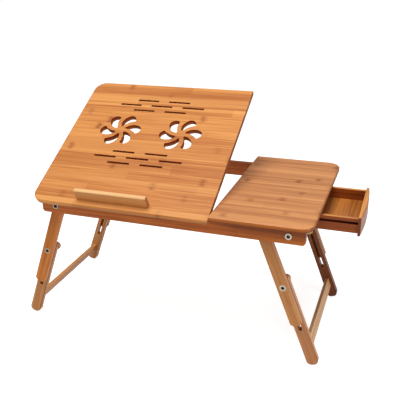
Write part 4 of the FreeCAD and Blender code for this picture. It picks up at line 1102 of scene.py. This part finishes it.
HINGE_LENGTH = 0.048
LEAF_SCREW = (0.0019, 0.0001, 0.0010)  # radius, crown and sink
LEAF_SCREW_INSET = 0.010
LEAF_SCREW_FROM_RIM = 0.0032
pins_low, pins_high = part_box("hinge_pins")
leaf_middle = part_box("hinge_fixed_leaves")[1][1] - LEAF_SCREW_FROM_RIM
fixed_screws, moving_screws = [], []
for start in (pins_low[0], pins_high[0] - HINGE_LENGTH):
    for x in (start + LEAF_SCREW_INSET, start + HINGE_LENGTH - LEAF_SCREW_INSET):
        fixed_screws.append(screw_shell((x, leaf_middle, rail_top), Z, *LEAF_SCREW))
        spot = on_panel(x, leaf_middle - hinge.y, UNDER_PANEL)
        moving_screws.append(screw_shell(spot, -Vector(panel_out), *LEAF_SCREW))
screw_steel = steel_material("screw steel", srgb(150, 144, 132), 0.38)
skin("fixed_leaf_screws", fixed_screws, screw_steel, "root")
skin("moving_leaf_screws", moving_screws, screw_steel, "tilt_panel")

# %% [markdown]
# The stop is glued on and held by two larger screws that come up through the panel, one near each end.

# %% The screws of the stop
STOP_SCREW = (0.0036, 0.0003, 0.0012)  # radius, crown and sink
STOP_SCREW_INSET = 0.030
STOP_FROM_EDGE = 0.014
STOP_THICK = 0.0085
stop_low, stop_high = (Vector(corner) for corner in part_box("book_stop"))
up_the_panel = STOP_FROM_EDGE + STOP_THICK / 2 - HINGE_FROM_EDGE
stop_screws = [screw_shell(on_panel(x, up_the_panel, UNDER_PANEL), -Vector(panel_out), *STOP_SCREW)
               for x in (stop_low.x + STOP_SCREW_INSET, stop_high.x - STOP_SCREW_INSET)]
skin("book_stop_screws", stop_screws, screw_steel, "tilt_panel")

# %% [markdown]
# ## The studio
# A broad pale floor and two soft lamps.  The floor is white to the camera because its material glows a
# little for camera rays and for the rays that metal and glass reflect or pass on; to every other ray it
# is a plain pale floor, so it does not light the desk from below more than paper would, and the desk's
# shadow still falls on it.

# %% Floor
FLOOR_GREY = 0.62
FLOOR_GLOW = 0.81
FLOOR_ROUGHNESS, FLOOR_SHINE = 0.9, 0.1
HALF_FLOOR = 12.0


def floor_material():
    """Pale paper that glows where the camera, a reflection or a view through glass sees it."""
    material = bpy.data.materials.new("studio floor")
    material.use_nodes = True
    tree = material.node_tree
    shader = tree.nodes["Principled BSDF"]
    shader.inputs["Base Color"].default_value = (FLOOR_GREY, FLOOR_GREY, FLOOR_GREY, 1)
    shader.inputs["Roughness"].default_value = FLOOR_ROUGHNESS
    shader.inputs["Specular IOR Level"].default_value = FLOOR_SHINE
    path = tree.nodes.new("ShaderNodeLightPath").outputs
    seen = do(tree, "MAXIMUM", path["Is Camera Ray"], path["Is Glossy Ray"])
    seen = do(tree, "MAXIMUM", seen, path["Is Transmission Ray"])
    glow = tree.nodes.new("ShaderNodeEmission")
    glow.inputs["Color"].default_value = WHITE
    feed(tree, glow.inputs["Strength"], times(tree, seen, FLOOR_GLOW))
    add = tree.nodes.new("ShaderNodeAddShader")
    feed(tree, add.inputs[0], shader.outputs["BSDF"])
    feed(tree, add.inputs[1], glow.outputs["Emission"])
    feed(tree, tree.nodes["Material Output"].inputs["Surface"], add.outputs["Shader"])
    return material


floor_mesh = bpy.data.meshes.new("floor")
corners = [(x * HALF_FLOOR, y * HALF_FLOOR, 0) for x, y in ((-1, -1), (1, -1), (1, 1), (-1, 1))]
floor_mesh.from_pydata(corners, [], [(0, 1, 2, 3)])
floor_mesh.materials.append(floor_material())
floor = bpy.data.objects.new("floor", floor_mesh)
bpy.context.scene.collection.objects.link(floor)
print("floor:", round(2 * HALF_FLOOR), "m wide")

# %% [markdown]
# A white sky at low strength fills the shadows.  The camera, and a view through glass, see it at full
# white; lacquer and metal reflect it as weak as it lights them, because a full white sky would lay a haze
# over the boards.  The key lamp hangs over the left half of the desk, so the honey panel is the brightest,
# and a small lamp at the right lifts the ends that face the camera.

# %% World and lamps
WORLD_LIGHT = 0.30
world = bpy.data.worlds.new("studio")
bpy.context.scene.world = world
world.use_nodes = True
tree = world.node_tree
path = tree.nodes.new("ShaderNodeLightPath").outputs
seen = do(tree, "MAXIMUM", path["Is Camera Ray"], path["Is Transmission Ray"])
background = tree.nodes["Background"]
background.inputs["Color"].default_value = WHITE
feed(tree, background.inputs["Strength"], plus(tree, times(tree, seen, 1.0 - WORLD_LIGHT), WORLD_LIGHT))


def lamp(name, size, power, spot, aim=(0, 0, 0.2)):
    """A square soft lamp at spot that faces aim."""
    light = bpy.data.lights.new(name, "AREA")
    light.size = size
    light.energy = power
    lantern = bpy.data.objects.new(name, light)
    lantern.location = spot
    lantern.rotation_euler = (Vector(aim) - Vector(spot)).to_track_quat("-Z", "Y").to_euler()
    bpy.context.scene.collection.objects.link(lantern)


lamp("key", 1.4, 65.0, (-0.32, -0.7, 2.85))
lamp("side", 0.9, 14.0, (1.9, -0.9, 0.9))
bpy.context.scene.view_settings.view_transform = "Standard"
